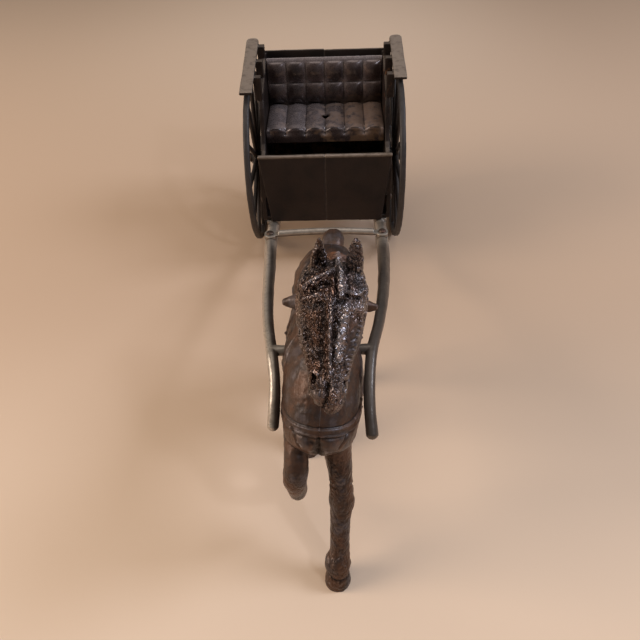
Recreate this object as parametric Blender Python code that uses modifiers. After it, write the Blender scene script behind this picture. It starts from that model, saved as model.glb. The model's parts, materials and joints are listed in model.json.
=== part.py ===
"""Cast iron toy horse carriage: a two-wheeled cart drawn by one trotting horse.

Metres, +Z up. The horse faces -Y, so the toy's own left is +X. The origin is on the floor under
the middle of the toy. Heights are above the floor, and places along Y are given from the axle.
"""
import math

import bmesh
import bpy
from mathutils import Matrix, Vector

# Gaps
SEAM = 0.0003            # between castings that touch
RUNNING_GAP = 0.0004     # round a rod that something turns on
PIVOT_PLAY = 0.0015      # the horse hangs loosely on its lugs

# Wheels and axle
WHEEL_RADIUS = 0.045
RIM_WIDTH = 0.0030
RIM_DEPTH = 0.0034
SPOKE_COUNT = 12
SPOKE_PHASE = math.radians(-7)
SPOKE_HUB_RADIUS = 0.00135
SPOKE_RIM_RADIUS = 0.00105
HUB_RADIUS = 0.0055
HUB_BARREL_RADIUS = 0.0034
HUB_LENGTH = 0.0066
HUB_FLANGE = 0.0012        # half thickness of the disc that the spokes enter
RIM_OFFSET = 0.0004        # the rim stands this much outward of the hub's middle
AXLE_RADIUS = 0.0016
AXLE_HEAD_RADIUS = 0.0027

# Body
BODY_HALF_WIDTH = 0.0334
WALL = 0.0022
SHEET = 0.0018
FLOOR_BOTTOM = 0.0278
FLOOR_FRONT = -0.0365
FLOOR_BACK = 0.0215
DASH_TOP = 0.0634
DASH_BOTTOM_Y = -0.0385
DASH_TOP_Y = -0.0345
DASH_TAPER = 0.0046         # how much narrower the dash is at its foot, each side
TAILBOARD_TOP = 0.0923
TAILBOARD_TOP_Y = 0.0285
# Top edge of a side panel from the dash to the tailboard: (y from the axle, height)
SIDE_SWOOP = [(-0.0318, 0.0604), (-0.0270, 0.0580), (-0.0205, 0.0565), (-0.0150, 0.0605),
              (-0.0115, 0.0680), (-0.0085, 0.0765), (-0.0035, 0.0822), (0.0045, 0.0846),
              (0.0150, 0.0868), (0.0225, 0.0902)]
AXLE_BOSS_RADIUS = 0.0050
AXLE_BOSS_HEIGHT = 0.0008

# Fenders over the wheels
FENDER_GAP = 0.0014         # between the body's side and the fender
FENDER_WIDTH = 0.0064
FENDER_THICKNESS = 0.0014
FENDER_FRONT_Y = {"left": -0.0100, "right": -0.0200}
FENDER_MIDDLE_TOP = 0.0935
FENDER_BACK_Y = 0.0315
FENDER_PITCH = 0.152
BRACKET_WIDTH = 0.0034
BRACKET_FOOT = 0.0800
BRACKET_PLACES = (-0.0045, 0.0105, 0.0245)

# Seat
SEAT_FRONT = -0.0102
SEAT_BACK = 0.0200
SEAT_TOP = 0.0668
SEAT_THICKNESS = 0.0085
FLUTE_COUNT = 6
FLUTE_CROWN = 0.0016
BACKREST_TOP = 0.0905
BACKREST_LEAN = 0.0030
BACKREST_THICKNESS = 0.0026
BUTTON_ROW_COUNT = 2
TUFT_CROWN = 0.0013
PEG_HOLE_RADIUS = 0.0017
PEG_HOLE_Y = 0.0045
LEDGE_DEPTH = 0.0020
LEDGE_HEIGHT = 0.0022

# Shafts and cross bar
SHAFT_RADIUS = 0.0031
SHAFT_TIP_RADIUS = 0.0019
SHAFT_LEAD = {"left": 0.0028, "right": -0.0008}     # how much further forward a tip reaches
SHAFT_SWAY = 0.0009        # both shafts bow this much toward the toy's left
TANG_WIDTH = 0.0064
TANG_BACK = -0.0080
TANG_INSET = 0.0050        # from the body's outer face to the middle of a tang
LUG_RADIUS = 0.0016
LUG_REACH = 0.0078         # from the middle of the cart to the end of a lug
PIVOT_SPREAD = 0.0165      # from the middle of the cart to a shaft at its lug
PIVOT_Y = -0.1770
PIVOT_HEIGHT = 0.0710
TIP_LENGTH = 0.0225        # from the lug to the end of a shaft
TIP_DROP = 0.0115
BAR_INSET = 0.0057         # from the body's outer face to a shaft at the cross bar
BAR_FOOT = 0.0300          # height of a shaft's middle at the cross bar
BAR_Y = -0.0610
BAR_RADIUS = 0.0017
BAR_RISE = 0.0014
BAR_EYE_RADIUS = 0.0031
BAR_EYE_THICKNESS = 0.0022
RIVET_RADIUS = 0.0011
RIVET_HEAD_RADIUS = 0.0021
RIVET_HEAD_HEIGHT = 0.0010
TIE_RADIUS = 0.0013
TIE_PLACES = {"tie_rod_front": (-0.0290, 0.0360), "tie_rod_rear": (0.0155, 0.0360)}

# Horse
TOE_REACH = 0.04806        # from the lugs forward to the toe of the front hoof
HORSE_LEAN = math.radians(3.5)
HORSE_TURN = math.radians(2.5)
HORSE_SHIFT = 0.0010
SHELL = 0.0024
SHOULDER_RIVET = (-0.0130, 0.0560)     # behind the lugs, and height
RUMP_RIVET = (0.0420, 0.0720)
STRAP_HEIGHT = 0.0007
HOOF_SPREAD = 0.0091
PEG_BASE_RADIUS = 0.0027
PEG_TIP_RADIUS = 0.0010
PEG_REACH = 0.0160
PEG_Y = 0.0142
PEG_HEIGHT = 0.0783
HEAD_TOP = 0.1165
EAR_LENGTH = 0.0130
EAR_HALF_WIDTH = 0.0025
EAR_PLACE = {"left": 0.0069, "right": -0.0025}
HORSE_RIVET_RADIUS = 0.0012
HORSE_RIVET_HEAD = 0.0023
HORSE_RIVET_HALF = 0.0104  # half the length between a horse rivet's heads

FRONT_REACH = TOE_REACH - PIVOT_Y
AXLE_Y = (FRONT_REACH - WHEEL_RADIUS) / 2
AXLE = Vector((0, AXLE_Y, WHEEL_RADIUS))
WHEEL_INNER = BODY_HALF_WIDTH + AXLE_BOSS_HEIGHT + SEAM
HUB_OUTER = WHEEL_INNER + HUB_LENGTH
FENDER_INNER = BODY_HALF_WIDTH + FENDER_GAP
FENDER_OUTER = FENDER_INNER + FENDER_WIDTH
TANG_SPREAD = BODY_HALF_WIDTH - TANG_INSET
BAR_SPREAD = BODY_HALF_WIDTH - BAR_INSET
SIDES = {"left": 1, "right": -1}

CAST_BLACK = ((0.035, 0.027, 0.024), 0.55, 0.7)
CAST_BROWN = ((0.085, 0.060, 0.048), 0.60, 0.6)
CAST_GREY = ((0.110, 0.108, 0.098), 0.50, 0.8)
HORSE_BROWN = ((0.060, 0.042, 0.034), 0.50, 0.6)
STEEL = ((0.160, 0.140, 0.120), 0.45, 0.9)


def clear_scene():
    """Remove every object of the open scene."""
    for item in list(bpy.data.objects):
        bpy.data.objects.remove(item, do_unlink=True)


def collection(name):
    """Make a collection under the scene."""
    made = bpy.data.collections.new(name)
    bpy.context.scene.collection.children.link(made)
    return made


clear_scene()
TOY = collection("toy_horse_carriage")
CUTTERS = collection("cutters")


def material(name, finish):
    """Make a Principled material from a colour, a roughness and a metallic value."""
    colour, roughness, metallic = finish
    made = bpy.data.materials.new(name)
    made.use_nodes = True
    shader = made.node_tree.nodes["Principled BSDF"]
    shader.inputs["Base Color"].default_value = (*colour, 1)
    shader.inputs["Roughness"].default_value = roughness
    shader.inputs["Metallic"].default_value = metallic
    return made


def faced_out(bm):
    """Turn the faces of one closed shell outward."""
    bmesh.ops.recalc_face_normals(bm, faces=bm.faces)
    if bm.calc_volume(signed=True) < 0:
        bmesh.ops.reverse_faces(bm, faces=bm.faces)
    return bm


def mesh_object(name, bm):
    """Turn a bmesh into an object among the cutters, where work pieces wait to be joined."""
    mesh = bpy.data.meshes.new(name)
    bm.to_mesh(mesh)
    bm.free()
    made = bpy.data.objects.new(name, mesh)
    made.hide_render = True
    made.display_type = "WIRE"
    CUTTERS.objects.link(made)
    return made


def finish_piece(piece, name, finish, parent=None):
    """Move a finished work piece into the toy's collection and give it its name and material."""
    CUTTERS.objects.unlink(piece)
    TOY.objects.link(piece)
    piece.name = name
    piece.hide_render = False
    piece.display_type = "TEXTURED"
    piece.data.name = name
    piece.data.materials.clear()
    piece.data.materials.append(material(name, finish))
    piece.data.shade_smooth()
    piece.data.set_sharp_from_angle(angle=math.radians(35))
    if parent:
        piece.parent = parent
    return piece


def baked(piece):
    """Replace an object's mesh by its evaluated one and drop its modifiers."""
    bpy.context.view_layer.update()
    evaluated = piece.evaluated_get(bpy.context.evaluated_depsgraph_get())
    mesh = bpy.data.meshes.new_from_object(evaluated)
    piece.modifiers.clear()
    piece.data = mesh
    return piece


def combine(piece, other, operation):
    """Apply one exact Boolean of another work piece, which is used up."""
    modifier = piece.modifiers.new(operation.lower(), "BOOLEAN")
    modifier.operation = operation
    modifier.object = other
    baked(piece)
    bpy.data.objects.remove(other, do_unlink=True)
    return piece


def union(piece, *others):
    """Join work pieces that overlap into one."""
    for other in others:
        combine(piece, other, "UNION")
    return piece


def cut(piece, *others):
    """Take work pieces out of one."""
    for other in others:
        combine(piece, other, "DIFFERENCE")
    return piece


def block(low, high):
    """A box between two corners."""
    low = Vector(low)
    high = Vector(high)
    bm = bmesh.new()
    bmesh.ops.create_cube(bm, size=1)
    size = high - low
    place = Matrix.Translation((low + high) / 2) @ Matrix.Diagonal((*size, 1))
    bm.transform(place)
    return mesh_object("block", bm)


def rod(start, end, radius, end_radius=None, segments=20):
    """A round or tapered bar between two points."""
    start = Vector(start)
    axis = Vector(end) - start
    bm = bmesh.new()
    bmesh.ops.create_cone(
        bm, cap_ends=True, segments=segments, radius1=radius,
        radius2=radius if end_radius is None else end_radius, depth=axis.length)
    turn = axis.to_track_quat("Z", "Y").to_matrix().to_4x4()
    bm.transform(Matrix.Translation(start + axis / 2) @ turn)
    return mesh_object("rod", bm)


def turned(profile, place, steps):
    """Revolve a profile of (radius, height) points about local Z and put it in place."""
    mesh = bpy.data.meshes.new("turned")
    corners = [(radius, 0, height) for radius, height in profile]
    edges = [(index, index + 1) for index in range(len(corners) - 1)]
    if profile[0][0] > 0 and profile[-1][0] > 0:
        edges.append((len(corners) - 1, 0))
    mesh.from_pydata(corners, edges, [])
    piece = bpy.data.objects.new("turned", mesh)
    CUTTERS.objects.link(piece)
    piece.hide_render = True
    piece.display_type = "WIRE"
    screw = piece.modifiers.new("turn", "SCREW")
    screw.steps = steps
    screw.render_steps = steps
    screw.use_merge_vertices = True
    screw.merge_threshold = 0.00001
    baked(piece)
    piece.data.transform(place)
    return piece


def along_x(origin, side=1):
    """A matrix that lays local Z along +X or -X from a point."""
    return Matrix.Translation(origin) @ Matrix.Rotation(side * math.pi / 2, 4, "Y")


def plate(outline, thickness, place):
    """A flat outline made solid, centred on its own plane, and put in place."""
    curve = bpy.data.curves.new("plate", "CURVE")
    curve.dimensions = "2D"
    curve.fill_mode = "BOTH"
    curve.extrude = thickness / 2
    spline = curve.splines.new("POLY")
    spline.points.add(len(outline) - 1)
    for point, (x, y) in zip(spline.points, outline):
        point.co = (x, y, 0, 1)
    spline.use_cyclic_u = True
    drawn = bpy.data.objects.new("plate", curve)
    CUTTERS.objects.link(drawn)
    return meshed(drawn, place)


def meshed(drawn, place=Matrix.Identity(4)):
    """Turn a curve object into a closed mesh object in its place."""
    bpy.context.view_layer.update()
    evaluated = drawn.evaluated_get(bpy.context.evaluated_depsgraph_get())
    mesh = bpy.data.meshes.new_from_object(evaluated)
    bm = bmesh.new()
    bm.from_mesh(mesh)
    bmesh.ops.remove_doubles(bm, verts=bm.verts, dist=0.00001)
    bm.transform(place @ drawn.matrix_world)
    curve = drawn.data
    bpy.data.objects.remove(drawn, do_unlink=True)
    bpy.data.curves.remove(curve)
    return mesh_object("meshed", faced_out(bm))


def bar(path, radii, resolution=2):
    """A round bar of changing radius along a path."""
    curve = bpy.data.curves.new("bar", "CURVE")
    curve.dimensions = "3D"
    curve.bevel_depth = 1
    curve.bevel_resolution = resolution
    curve.use_fill_caps = True
    spline = curve.splines.new("POLY")
    spline.points.add(len(path) - 1)
    for point, place, radius in zip(spline.points, path, radii):
        point.co = (*place, 1)
        point.radius = radius
    drawn = bpy.data.objects.new("bar", curve)
    CUTTERS.objects.link(drawn)
    return meshed(drawn)


def smooth(stations, steps):
    """Points on a smooth curve through rows of numbers, each row one station."""
    rows = [tuple(row) for row in stations]
    rows = [rows[0], *rows, rows[-1]]
    points = []
    for before, start, end, after in zip(rows, rows[1:], rows[2:], rows[3:]):
        for step in range(steps):
            t = step / steps
            points.append(tuple(
                0.5 * (2 * b + (c - a) * t + (2 * a - 5 * b + 4 * c - d) * t * t
                       + (3 * b - a - 3 * c + d) * t ** 3)
                for a, b, c, d in zip(before, start, end, after)))
    points.append(rows[-1])
    return points


def loft(stations, count, steps=2, grow=0.0, power=2.0):
    """A closed solid through oval sections in the horse's length plane.

    A station is (x, y, z, half width, half depth). Each section stands square to the path, its
    width along X. A power above 2 squares the sections off.
    """
    points = smooth(stations, steps)
    centres = [Vector(point[:3]) for point in points]
    bm = bmesh.new()
    rings = []
    for index, point in enumerate(points):
        ahead = centres[min(index + 1, len(centres) - 1)]
        behind = centres[max(index - 1, 0)]
        along = (ahead - behind).normalized()
        across = Vector((1, 0, 0))
        depth = along.cross(across).normalized()
        half_width = point[3] + grow
        half_depth = point[4] + grow
        ring = []
        for step in range(count):
            angle = math.tau * step / count
            c = math.cos(angle)
            s = math.sin(angle)
            c = math.copysign(abs(c) ** (2 / power), c)
            s = math.copysign(abs(s) ** (2 / power), s)
            ring.append(bm.verts.new(centres[index] + across * half_width * c + depth * half_depth * s))
        rings.append(ring)
    for first, second in zip(rings, rings[1:]):
        for step in range(count):
            after = (step + 1) % count
            bm.faces.new((first[step], first[after], second[after], second[step]))
    bm.faces.new(rings[0])
    bm.faces.new(rings[-1])
    bmesh.ops.triangulate(bm, faces=bm.faces)
    return mesh_object("loft", faced_out(bm))


def half_of(piece, side):
    """One side of a work piece, cut half a seam away from the middle and closed there."""
    bm = bmesh.new()
    bm.from_mesh(piece.data)
    bmesh.ops.triangulate(bm, faces=bm.faces)
    bmesh.ops.remove_doubles(bm, verts=bm.verts, dist=0.00002)
    bmesh.ops.dissolve_degenerate(bm, edges=bm.edges, dist=0.00001)
    everything = bm.verts[:] + bm.edges[:] + bm.faces[:]
    cut_edges = bmesh.ops.bisect_plane(
        bm, geom=everything, plane_co=(side * SEAM / 2, 0, 0), plane_no=(-side, 0, 0),
        clear_outer=True)["geom_cut"]
    rim = [item for item in cut_edges if isinstance(item, bmesh.types.BMEdge)]
    bmesh.ops.triangle_fill(bm, edges=rim, use_beauty=True)
    return mesh_object("half", faced_out(bm))


def from_axle(y):
    """The Y of a place given from the axle."""
    return AXLE_Y + y


def make_wheel(name, side):
    """One spoked wheel on an empty that stands on the axle."""
    hub_start = WHEEL_INNER
    middle = hub_start + HUB_LENGTH / 2 + RIM_OFFSET
    place = along_x(Vector((0, 0, 0)), side)
    half = RIM_WIDTH / 2
    inner = WHEEL_RADIUS - RIM_DEPTH
    edge = 0.0005
    rim = turned([
        (inner, middle - half + edge), (inner, middle + half - edge), (inner + edge, middle + half),
        (WHEEL_RADIUS - edge, middle + half), (WHEEL_RADIUS, middle + half - edge),
        (WHEEL_RADIUS, middle - half + edge), (WHEEL_RADIUS - edge, middle - half),
        (inner + edge, middle - half)], place @ Matrix.Rotation(math.pi / 2, 4, "Z"), 36)
    bore = AXLE_RADIUS + RUNNING_GAP
    hub_end = hub_start + HUB_LENGTH
    barrel = HUB_BARREL_RADIUS
    shoulder = HUB_FLANGE + 0.0005
    hub = turned([
        (bore, hub_start), (bore, hub_end), (barrel, hub_end), (barrel, middle + shoulder),
        (HUB_RADIUS, middle + HUB_FLANGE), (HUB_RADIUS, middle - HUB_FLANGE),
        (barrel, middle - shoulder), (barrel, hub_start)], place, 18)
    spokes = bmesh.new()
    for index in range(SPOKE_COUNT):
        angle = SPOKE_PHASE + math.tau * index / SPOKE_COUNT
        start = HUB_RADIUS - 0.0012
        length = inner + RIM_DEPTH / 2 - start
        turn = Matrix.Rotation(angle, 4, "X") @ Matrix.Rotation(math.pi / 2, 4, "X")
        spot = Matrix.Translation((side * middle, 0, 0)) @ turn
        spot = spot @ Matrix.Translation((0, 0, start + length / 2))
        bmesh.ops.create_cone(
            spokes, cap_ends=True, segments=8, radius1=SPOKE_HUB_RADIUS,
            radius2=SPOKE_RIM_RADIUS, depth=length, matrix=spot)
    wheel = union(rim, mesh_object("spokes", spokes), hub)
    pivot = bpy.data.objects.new(name + "_axis", None)
    pivot.location = AXLE
    TOY.objects.link(pivot)
    return finish_piece(wheel, name, CAST_BLACK, pivot)


def make_axle():
    """The axle with its two peened ends."""
    end = HUB_OUTER + SEAM
    reach = end + 0.0014
    half = [
        (0, reach), (AXLE_HEAD_RADIUS * 0.6, reach - 0.0002), (AXLE_HEAD_RADIUS, end + 0.0005),
        (AXLE_HEAD_RADIUS, end), (AXLE_RADIUS, end)]
    profile = half + [(radius, -height) for radius, height in reversed(half)]
    axle = turned(profile, along_x(AXLE), 16)
    return finish_piece(axle, "axle", STEEL)


def rivet(name, low, high, radius, head_radius, finish, parent=None):
    """A rivet between two points with a domed head at each end, heads outside the points."""
    low = Vector(low)
    axis = Vector(high) - low
    length = axis.length
    turn = Matrix.Translation(low) @ axis.to_track_quat("Z", "Y").to_matrix().to_4x4()
    top = [(0, RIVET_HEAD_HEIGHT), (head_radius * 0.7, RIVET_HEAD_HEIGHT * 0.7),
           (head_radius, 0), (radius, 0)]
    profile = [(r, length + h) for r, h in top] + [(r, -h) for r, h in reversed(top)]
    return finish_piece(turned(profile, turn, 10), name, finish, parent)


def side_outline():
    """Outline of a side panel as (y from the axle, height)."""
    back_top = TAILBOARD_TOP_Y + SHEET / 2
    return [(FLOOR_FRONT, FLOOR_BOTTOM), (FLOOR_BACK + SHEET / 2, FLOOR_BOTTOM),
            (back_top, TAILBOARD_TOP - SHEET / 4), *reversed(smooth(SIDE_SWOOP, 2)),
            (DASH_TOP_Y + SHEET / 3, DASH_TOP - SHEET / 2)]


def make_body_half(side_name):
    """One half of the cart body: side panel, half dash, half floor, half tailboard and fender."""
    side = SIDES[side_name]
    stand = Matrix(((0, 0, 1, 0), (1, 0, 0, 0), (0, 1, 0, 0), (0, 0, 0, 1)))
    middle = side * (BODY_HALF_WIDTH - WALL / 2)
    panel = plate(side_outline(), WALL, Matrix.Translation((middle, AXLE_Y, 0)) @ stand)
    seam = side * SEAM / 2
    inside = side * (BODY_HALF_WIDTH - WALL)
    overlap = side * (BODY_HALF_WIDTH - WALL / 2)

    def span(near, far, y0, y1, z0, z1):
        """A box between two distances from the middle on this half's side."""
        return block((min(near, far), from_axle(y0), z0), (max(near, far), from_axle(y1), z1))

    floor = span(seam, overlap, FLOOR_FRONT, FLOOR_BACK, FLOOR_BOTTOM, FLOOR_BOTTOM + SHEET)

    slope = Vector((0, DASH_TOP_Y - DASH_BOTTOM_Y, DASH_TOP - FLOOR_BOTTOM))
    dash_outline = [(seam, 0), (side * (BODY_HALF_WIDTH - DASH_TAPER), 0),
                    (side * BODY_HALF_WIDTH, slope.length), (seam, slope.length)]
    lean = Matrix.Rotation(math.pi / 2 - math.atan2(slope.y, slope.z), 4, "X")
    dash_foot = Vector((0, from_axle(DASH_BOTTOM_Y + SHEET / 2), FLOOR_BOTTOM))
    dash = plate(dash_outline, SHEET, Matrix.Translation(dash_foot) @ lean)

    rise = Vector((0, TAILBOARD_TOP_Y - FLOOR_BACK, TAILBOARD_TOP - FLOOR_BOTTOM))
    back_outline = [(seam, 0), (overlap, 0), (overlap, rise.length), (seam, rise.length)]
    recline = Matrix.Rotation(math.pi / 2 - math.atan2(rise.y, rise.z), 4, "X")
    back_foot = Vector((0, from_axle(FLOOR_BACK), FLOOR_BOTTOM))
    tailboard = plate(back_outline, SHEET, Matrix.Translation(back_foot) @ recline)

    ledge_top = SEAT_TOP - SEAT_THICKNESS - SEAM
    ledge = span(inside - side * LEDGE_DEPTH, overlap, SEAT_FRONT + 0.002, SEAT_BACK,
                 ledge_top - LEDGE_HEIGHT, ledge_top)
    boss = rod((overlap, AXLE_Y, WHEEL_RADIUS),
               (side * (BODY_HALF_WIDTH + AXLE_BOSS_HEIGHT), AXLE_Y, WHEEL_RADIUS), AXLE_BOSS_RADIUS)
    half = union(panel, floor, dash, tailboard, ledge, boss, make_fender(side_name))
    for place in BRACKET_PLACES:
        top = fender_top(place) - FENDER_THICKNESS / 2
        union(half, span(inside + side * 0.0004, side * (FENDER_INNER + 0.0006),
                         place - BRACKET_WIDTH / 2, place + BRACKET_WIDTH / 2, BRACKET_FOOT, top))

    through = side * (BODY_HALF_WIDTH + 0.003)
    cut(half, rod((inside * 0.9, AXLE_Y, WHEEL_RADIUS), (through, AXLE_Y, WHEEL_RADIUS),
                  AXLE_RADIUS + SEAM))
    for y, z in TIE_PLACES.values():
        cut(half, rod((inside * 0.9, from_axle(y), z), (through, from_axle(y), z),
                      TIE_RADIUS + SEAM, segments=14))
    for y in tang_rivets():
        x = side * TANG_SPREAD
        cut(half, rod((x, from_axle(y), FLOOR_BOTTOM - 0.001),
                      (x, from_axle(y), FLOOR_BOTTOM + SHEET + 0.001), RIVET_RADIUS + SEAM,
                      segments=14))
    return finish_piece(half, "body_" + side_name, CAST_BLACK)


def fender_top(y):
    """Height of the fender's upper face at a distance from the axle."""
    return FENDER_MIDDLE_TOP + y * math.tan(FENDER_PITCH)


def make_fender(side_name):
    """The sloping flat fender over a wheel, rounded at its rear end."""
    side = SIDES[side_name]
    front = FENDER_FRONT_Y[side_name]
    length = FENDER_BACK_Y - front
    width = FENDER_OUTER - FENDER_INNER
    corner = width * 0.42
    outline = [(FENDER_INNER, 0), (FENDER_OUTER, 0)]
    for index in range(5):
        angle = math.pi / 2 * index / 4
        outline.append((FENDER_OUTER - corner + corner * math.cos(angle),
                        length - corner + corner * math.sin(angle)))
    for index in range(5):
        angle = math.pi / 2 * (1 + index / 4)
        outline.append((FENDER_INNER + corner + corner * math.cos(angle),
                        length - corner + corner * math.sin(angle)))
    outline = [(side * x, y) for x, y in outline]
    foot = Vector((0, from_axle(front), fender_top(front) - FENDER_THICKNESS / 2))
    slope = Matrix.Rotation(FENDER_PITCH, 4, "X")
    return plate(outline, FENDER_THICKNESS, Matrix.Translation(foot) @ slope)


def tufted_slab(width, length, thickness, crown, columns, rows, fall, foot=0.0):
    """A slab whose upper face swells in columns and rows, its lower face flat at Z 0.

    The front end, at low Y, rounds off over the length fall. The rows start at the length foot.
    """
    bm = bmesh.new()
    steps = 4
    row_steps = 4 * rows
    bmesh.ops.create_grid(bm, x_segments=columns * steps, y_segments=row_steps + 2, size=0.5)
    for vert in bm.verts:
        across = (vert.co.x + 0.5) * columns
        step = round((vert.co.y + 0.5) * (row_steps + 2))
        along = (step - 2) / row_steps
        swell = abs(math.sin(math.pi * across)) ** 0.6
        if rows > 1:
            swell *= abs(math.sin(math.pi * max(0.0, along) * rows)) ** 0.6
            y = foot + along * (length - foot) if along > 0 else foot * step / 2
        else:
            y = step / (row_steps + 2) * length
        drop = max(0.0, 1 - y / fall) ** 2 if fall else 0.0
        vert.co.x *= width
        vert.co.y = y - (fall * 0.35 * swell * max(0.0, 1 - y / (2 * fall)) if fall else 0.0)
        vert.co.z = thickness - crown + crown * swell - drop * thickness * 0.45
    rim = [edge for edge in bm.edges if edge.is_boundary]
    grown = bmesh.ops.extrude_edge_only(bm, edges=rim)["geom"]
    for vert in (item for item in grown if isinstance(item, bmesh.types.BMVert)):
        vert.co.z = 0
    bmesh.ops.holes_fill(bm, edges=[edge for edge in bm.edges if edge.is_boundary], sides=0)
    return mesh_object("slab", faced_out(bm))


def make_seat():
    """The seat and backrest casting."""
    half_width = BODY_HALF_WIDTH - WALL - SEAM
    pan = tufted_slab(2 * half_width, SEAT_BACK - SEAT_FRONT, SEAT_THICKNESS, FLUTE_CROWN,
                      FLUTE_COUNT, 1, 0.0020)
    pan.data.transform(Matrix.Translation((0, from_axle(SEAT_FRONT), SEAT_TOP - SEAT_THICKNESS)))
    low = SEAT_TOP - SEAT_THICKNESS + 0.0012
    rise = BACKREST_TOP - low
    slab = tufted_slab(2 * half_width, math.hypot(rise, BACKREST_LEAN), BACKREST_THICKNESS,
                       TUFT_CROWN, FLUTE_COUNT, BUTTON_ROW_COUNT, 0, SEAT_TOP - low)
    tilt = math.atan2(rise, BACKREST_LEAN)
    foot = Vector((0, from_axle(SEAT_BACK), low))
    slab.data.transform(Matrix.Translation(foot) @ Matrix.Rotation(tilt, 4, "X"))
    seat = union(pan, slab)
    cut(seat, rod((0, from_axle(PEG_HOLE_Y), SEAT_TOP - 0.010),
                  (0, from_axle(PEG_HOLE_Y), SEAT_TOP + 0.002), PEG_HOLE_RADIUS))
    return finish_piece(seat, "seat", CAST_BROWN)


def between(start, end, share):
    """A value part of the way from one to another."""
    return start + (end - start) * share


def shaft_line(side_name):
    """Centre line of a shaft as (distance from the middle, y from the axle, height, radius)."""
    sway = SIDES[side_name] * SHAFT_SWAY
    reach = TIP_LENGTH + SHAFT_LEAD[side_name]
    foot = FLOOR_BOTTOM - SEAM - SHAFT_RADIUS
    bend = FLOOR_FRONT - 0.0035
    line = [(TANG_SPREAD, TANG_BACK - 0.004, foot, SHAFT_RADIUS), (TANG_SPREAD, bend, foot, SHAFT_RADIUS),
            (between(TANG_SPREAD, BAR_SPREAD, 0.4), between(bend, BAR_Y, 0.45),
             between(foot, BAR_FOOT, 0.42), SHAFT_RADIUS), (BAR_SPREAD, BAR_Y, BAR_FOOT, SHAFT_RADIUS)]
    climb = ((0.06, 0.10, 0.15), (0.23, 0.31, 0.415), (0.395, 0.52, 0.64), (0.57, 0.715, 0.825),
             (0.78, 0.88, 0.946), (1.0, 1.0, 1.0))
    for across, ahead, up in climb:
        line.append((between(BAR_SPREAD, PIVOT_SPREAD, across) + sway * math.sin(math.pi * ahead),
                     between(BAR_Y, PIVOT_Y, ahead), between(BAR_FOOT, PIVOT_HEIGHT, up),
                     between(SHAFT_RADIUS, SHAFT_TIP_RADIUS, min(1.0, ahead * 1.1))))
    for inward, ahead, down in ((0.0014, 0.47, 0.24), (0.0015, 0.78, 0.59), (0.0010, 1.0, 1.0)):
        line.append((PIVOT_SPREAD - inward, PIVOT_Y - reach * ahead,
                     PIVOT_HEIGHT - TIP_DROP * down, SHAFT_TIP_RADIUS))
    return [line[0], *smooth(line[1:], 2)]


def tang_rivets():
    """Places from the axle of the two rivets through a tang."""
    return {"front": FLOOR_FRONT + 0.0065, "rear": TANG_BACK - 0.0060}.values()


def make_shaft(side_name):
    """A shaft with its square tang, its flat for the cross bar and its pivot lug."""
    side = SIDES[side_name]
    line = shaft_line(side_name)
    path = [Vector((side * x, from_axle(y), z)) for x, y, z, _ in line]
    radii = [radius for *_, radius in line]
    end = (path[-1] - path[-2]).normalized()
    nose = SHAFT_TIP_RADIUS
    for reach, share in ((0.45, 0.89), (0.8, 0.6), (0.98, 0.2)):
        path.append(path[len(line) - 1] + end * nose * reach)
        radii.append(nose * share)
    shaft = bar(path, radii)
    x = side * TANG_SPREAD
    top = FLOOR_BOTTOM - SEAM
    tang = block((x - TANG_WIDTH / 2, from_axle(FLOOR_FRONT + 0.001), top - 2 * SHAFT_RADIUS),
                 (x + TANG_WIDTH / 2, from_axle(TANG_BACK), top))
    pad_x = side * BAR_SPREAD
    pad = rod((pad_x, from_axle(BAR_Y), BAR_FOOT), (pad_x, from_axle(BAR_Y), bar_seat()),
              BAR_EYE_RADIUS, segments=16)
    lug = rod((side * PIVOT_SPREAD, from_axle(PIVOT_Y), PIVOT_HEIGHT),
              (side * LUG_REACH, from_axle(PIVOT_Y), PIVOT_HEIGHT), LUG_RADIUS + 0.0003, LUG_RADIUS,
              segments=14)
    union(shaft, tang, pad, lug)
    cut(shaft, block((x - 0.01, from_axle(TANG_BACK), top - 0.01),
                     (x + 0.01, from_axle(TANG_BACK) + 0.01, top + 0.01)))
    flat = BAR_EYE_RADIUS + SEAM
    cut(shaft, block((pad_x - 0.01, from_axle(BAR_Y) - flat, bar_seat()),
                     (pad_x + 0.01, from_axle(BAR_Y) + flat, bar_seat() + 0.01)))
    for y in tang_rivets():
        cut(shaft, rod((x, from_axle(y), top - 0.010), (x, from_axle(y), top + 0.002),
                       RIVET_RADIUS + SEAM, segments=14))
    cut(shaft, rod((pad_x, from_axle(BAR_Y), BAR_FOOT - 0.008),
                   (pad_x, from_axle(BAR_Y), bar_seat() + 0.002), RIVET_RADIUS + SEAM, segments=14))
    under = BAR_FOOT - SHAFT_RADIUS
    cut(shaft, rod((pad_x, from_axle(BAR_Y), under - 0.004), (pad_x, from_axle(BAR_Y), under + 0.0010),
                   RIVET_HEAD_RADIUS + SEAM, segments=14))
    return finish_piece(shaft, "shaft_" + side_name, CAST_GREY)


def bar_seat():
    """Height of the flat on a shaft that carries the cross bar's eye."""
    return BAR_FOOT + SHAFT_RADIUS + 0.0004


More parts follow.
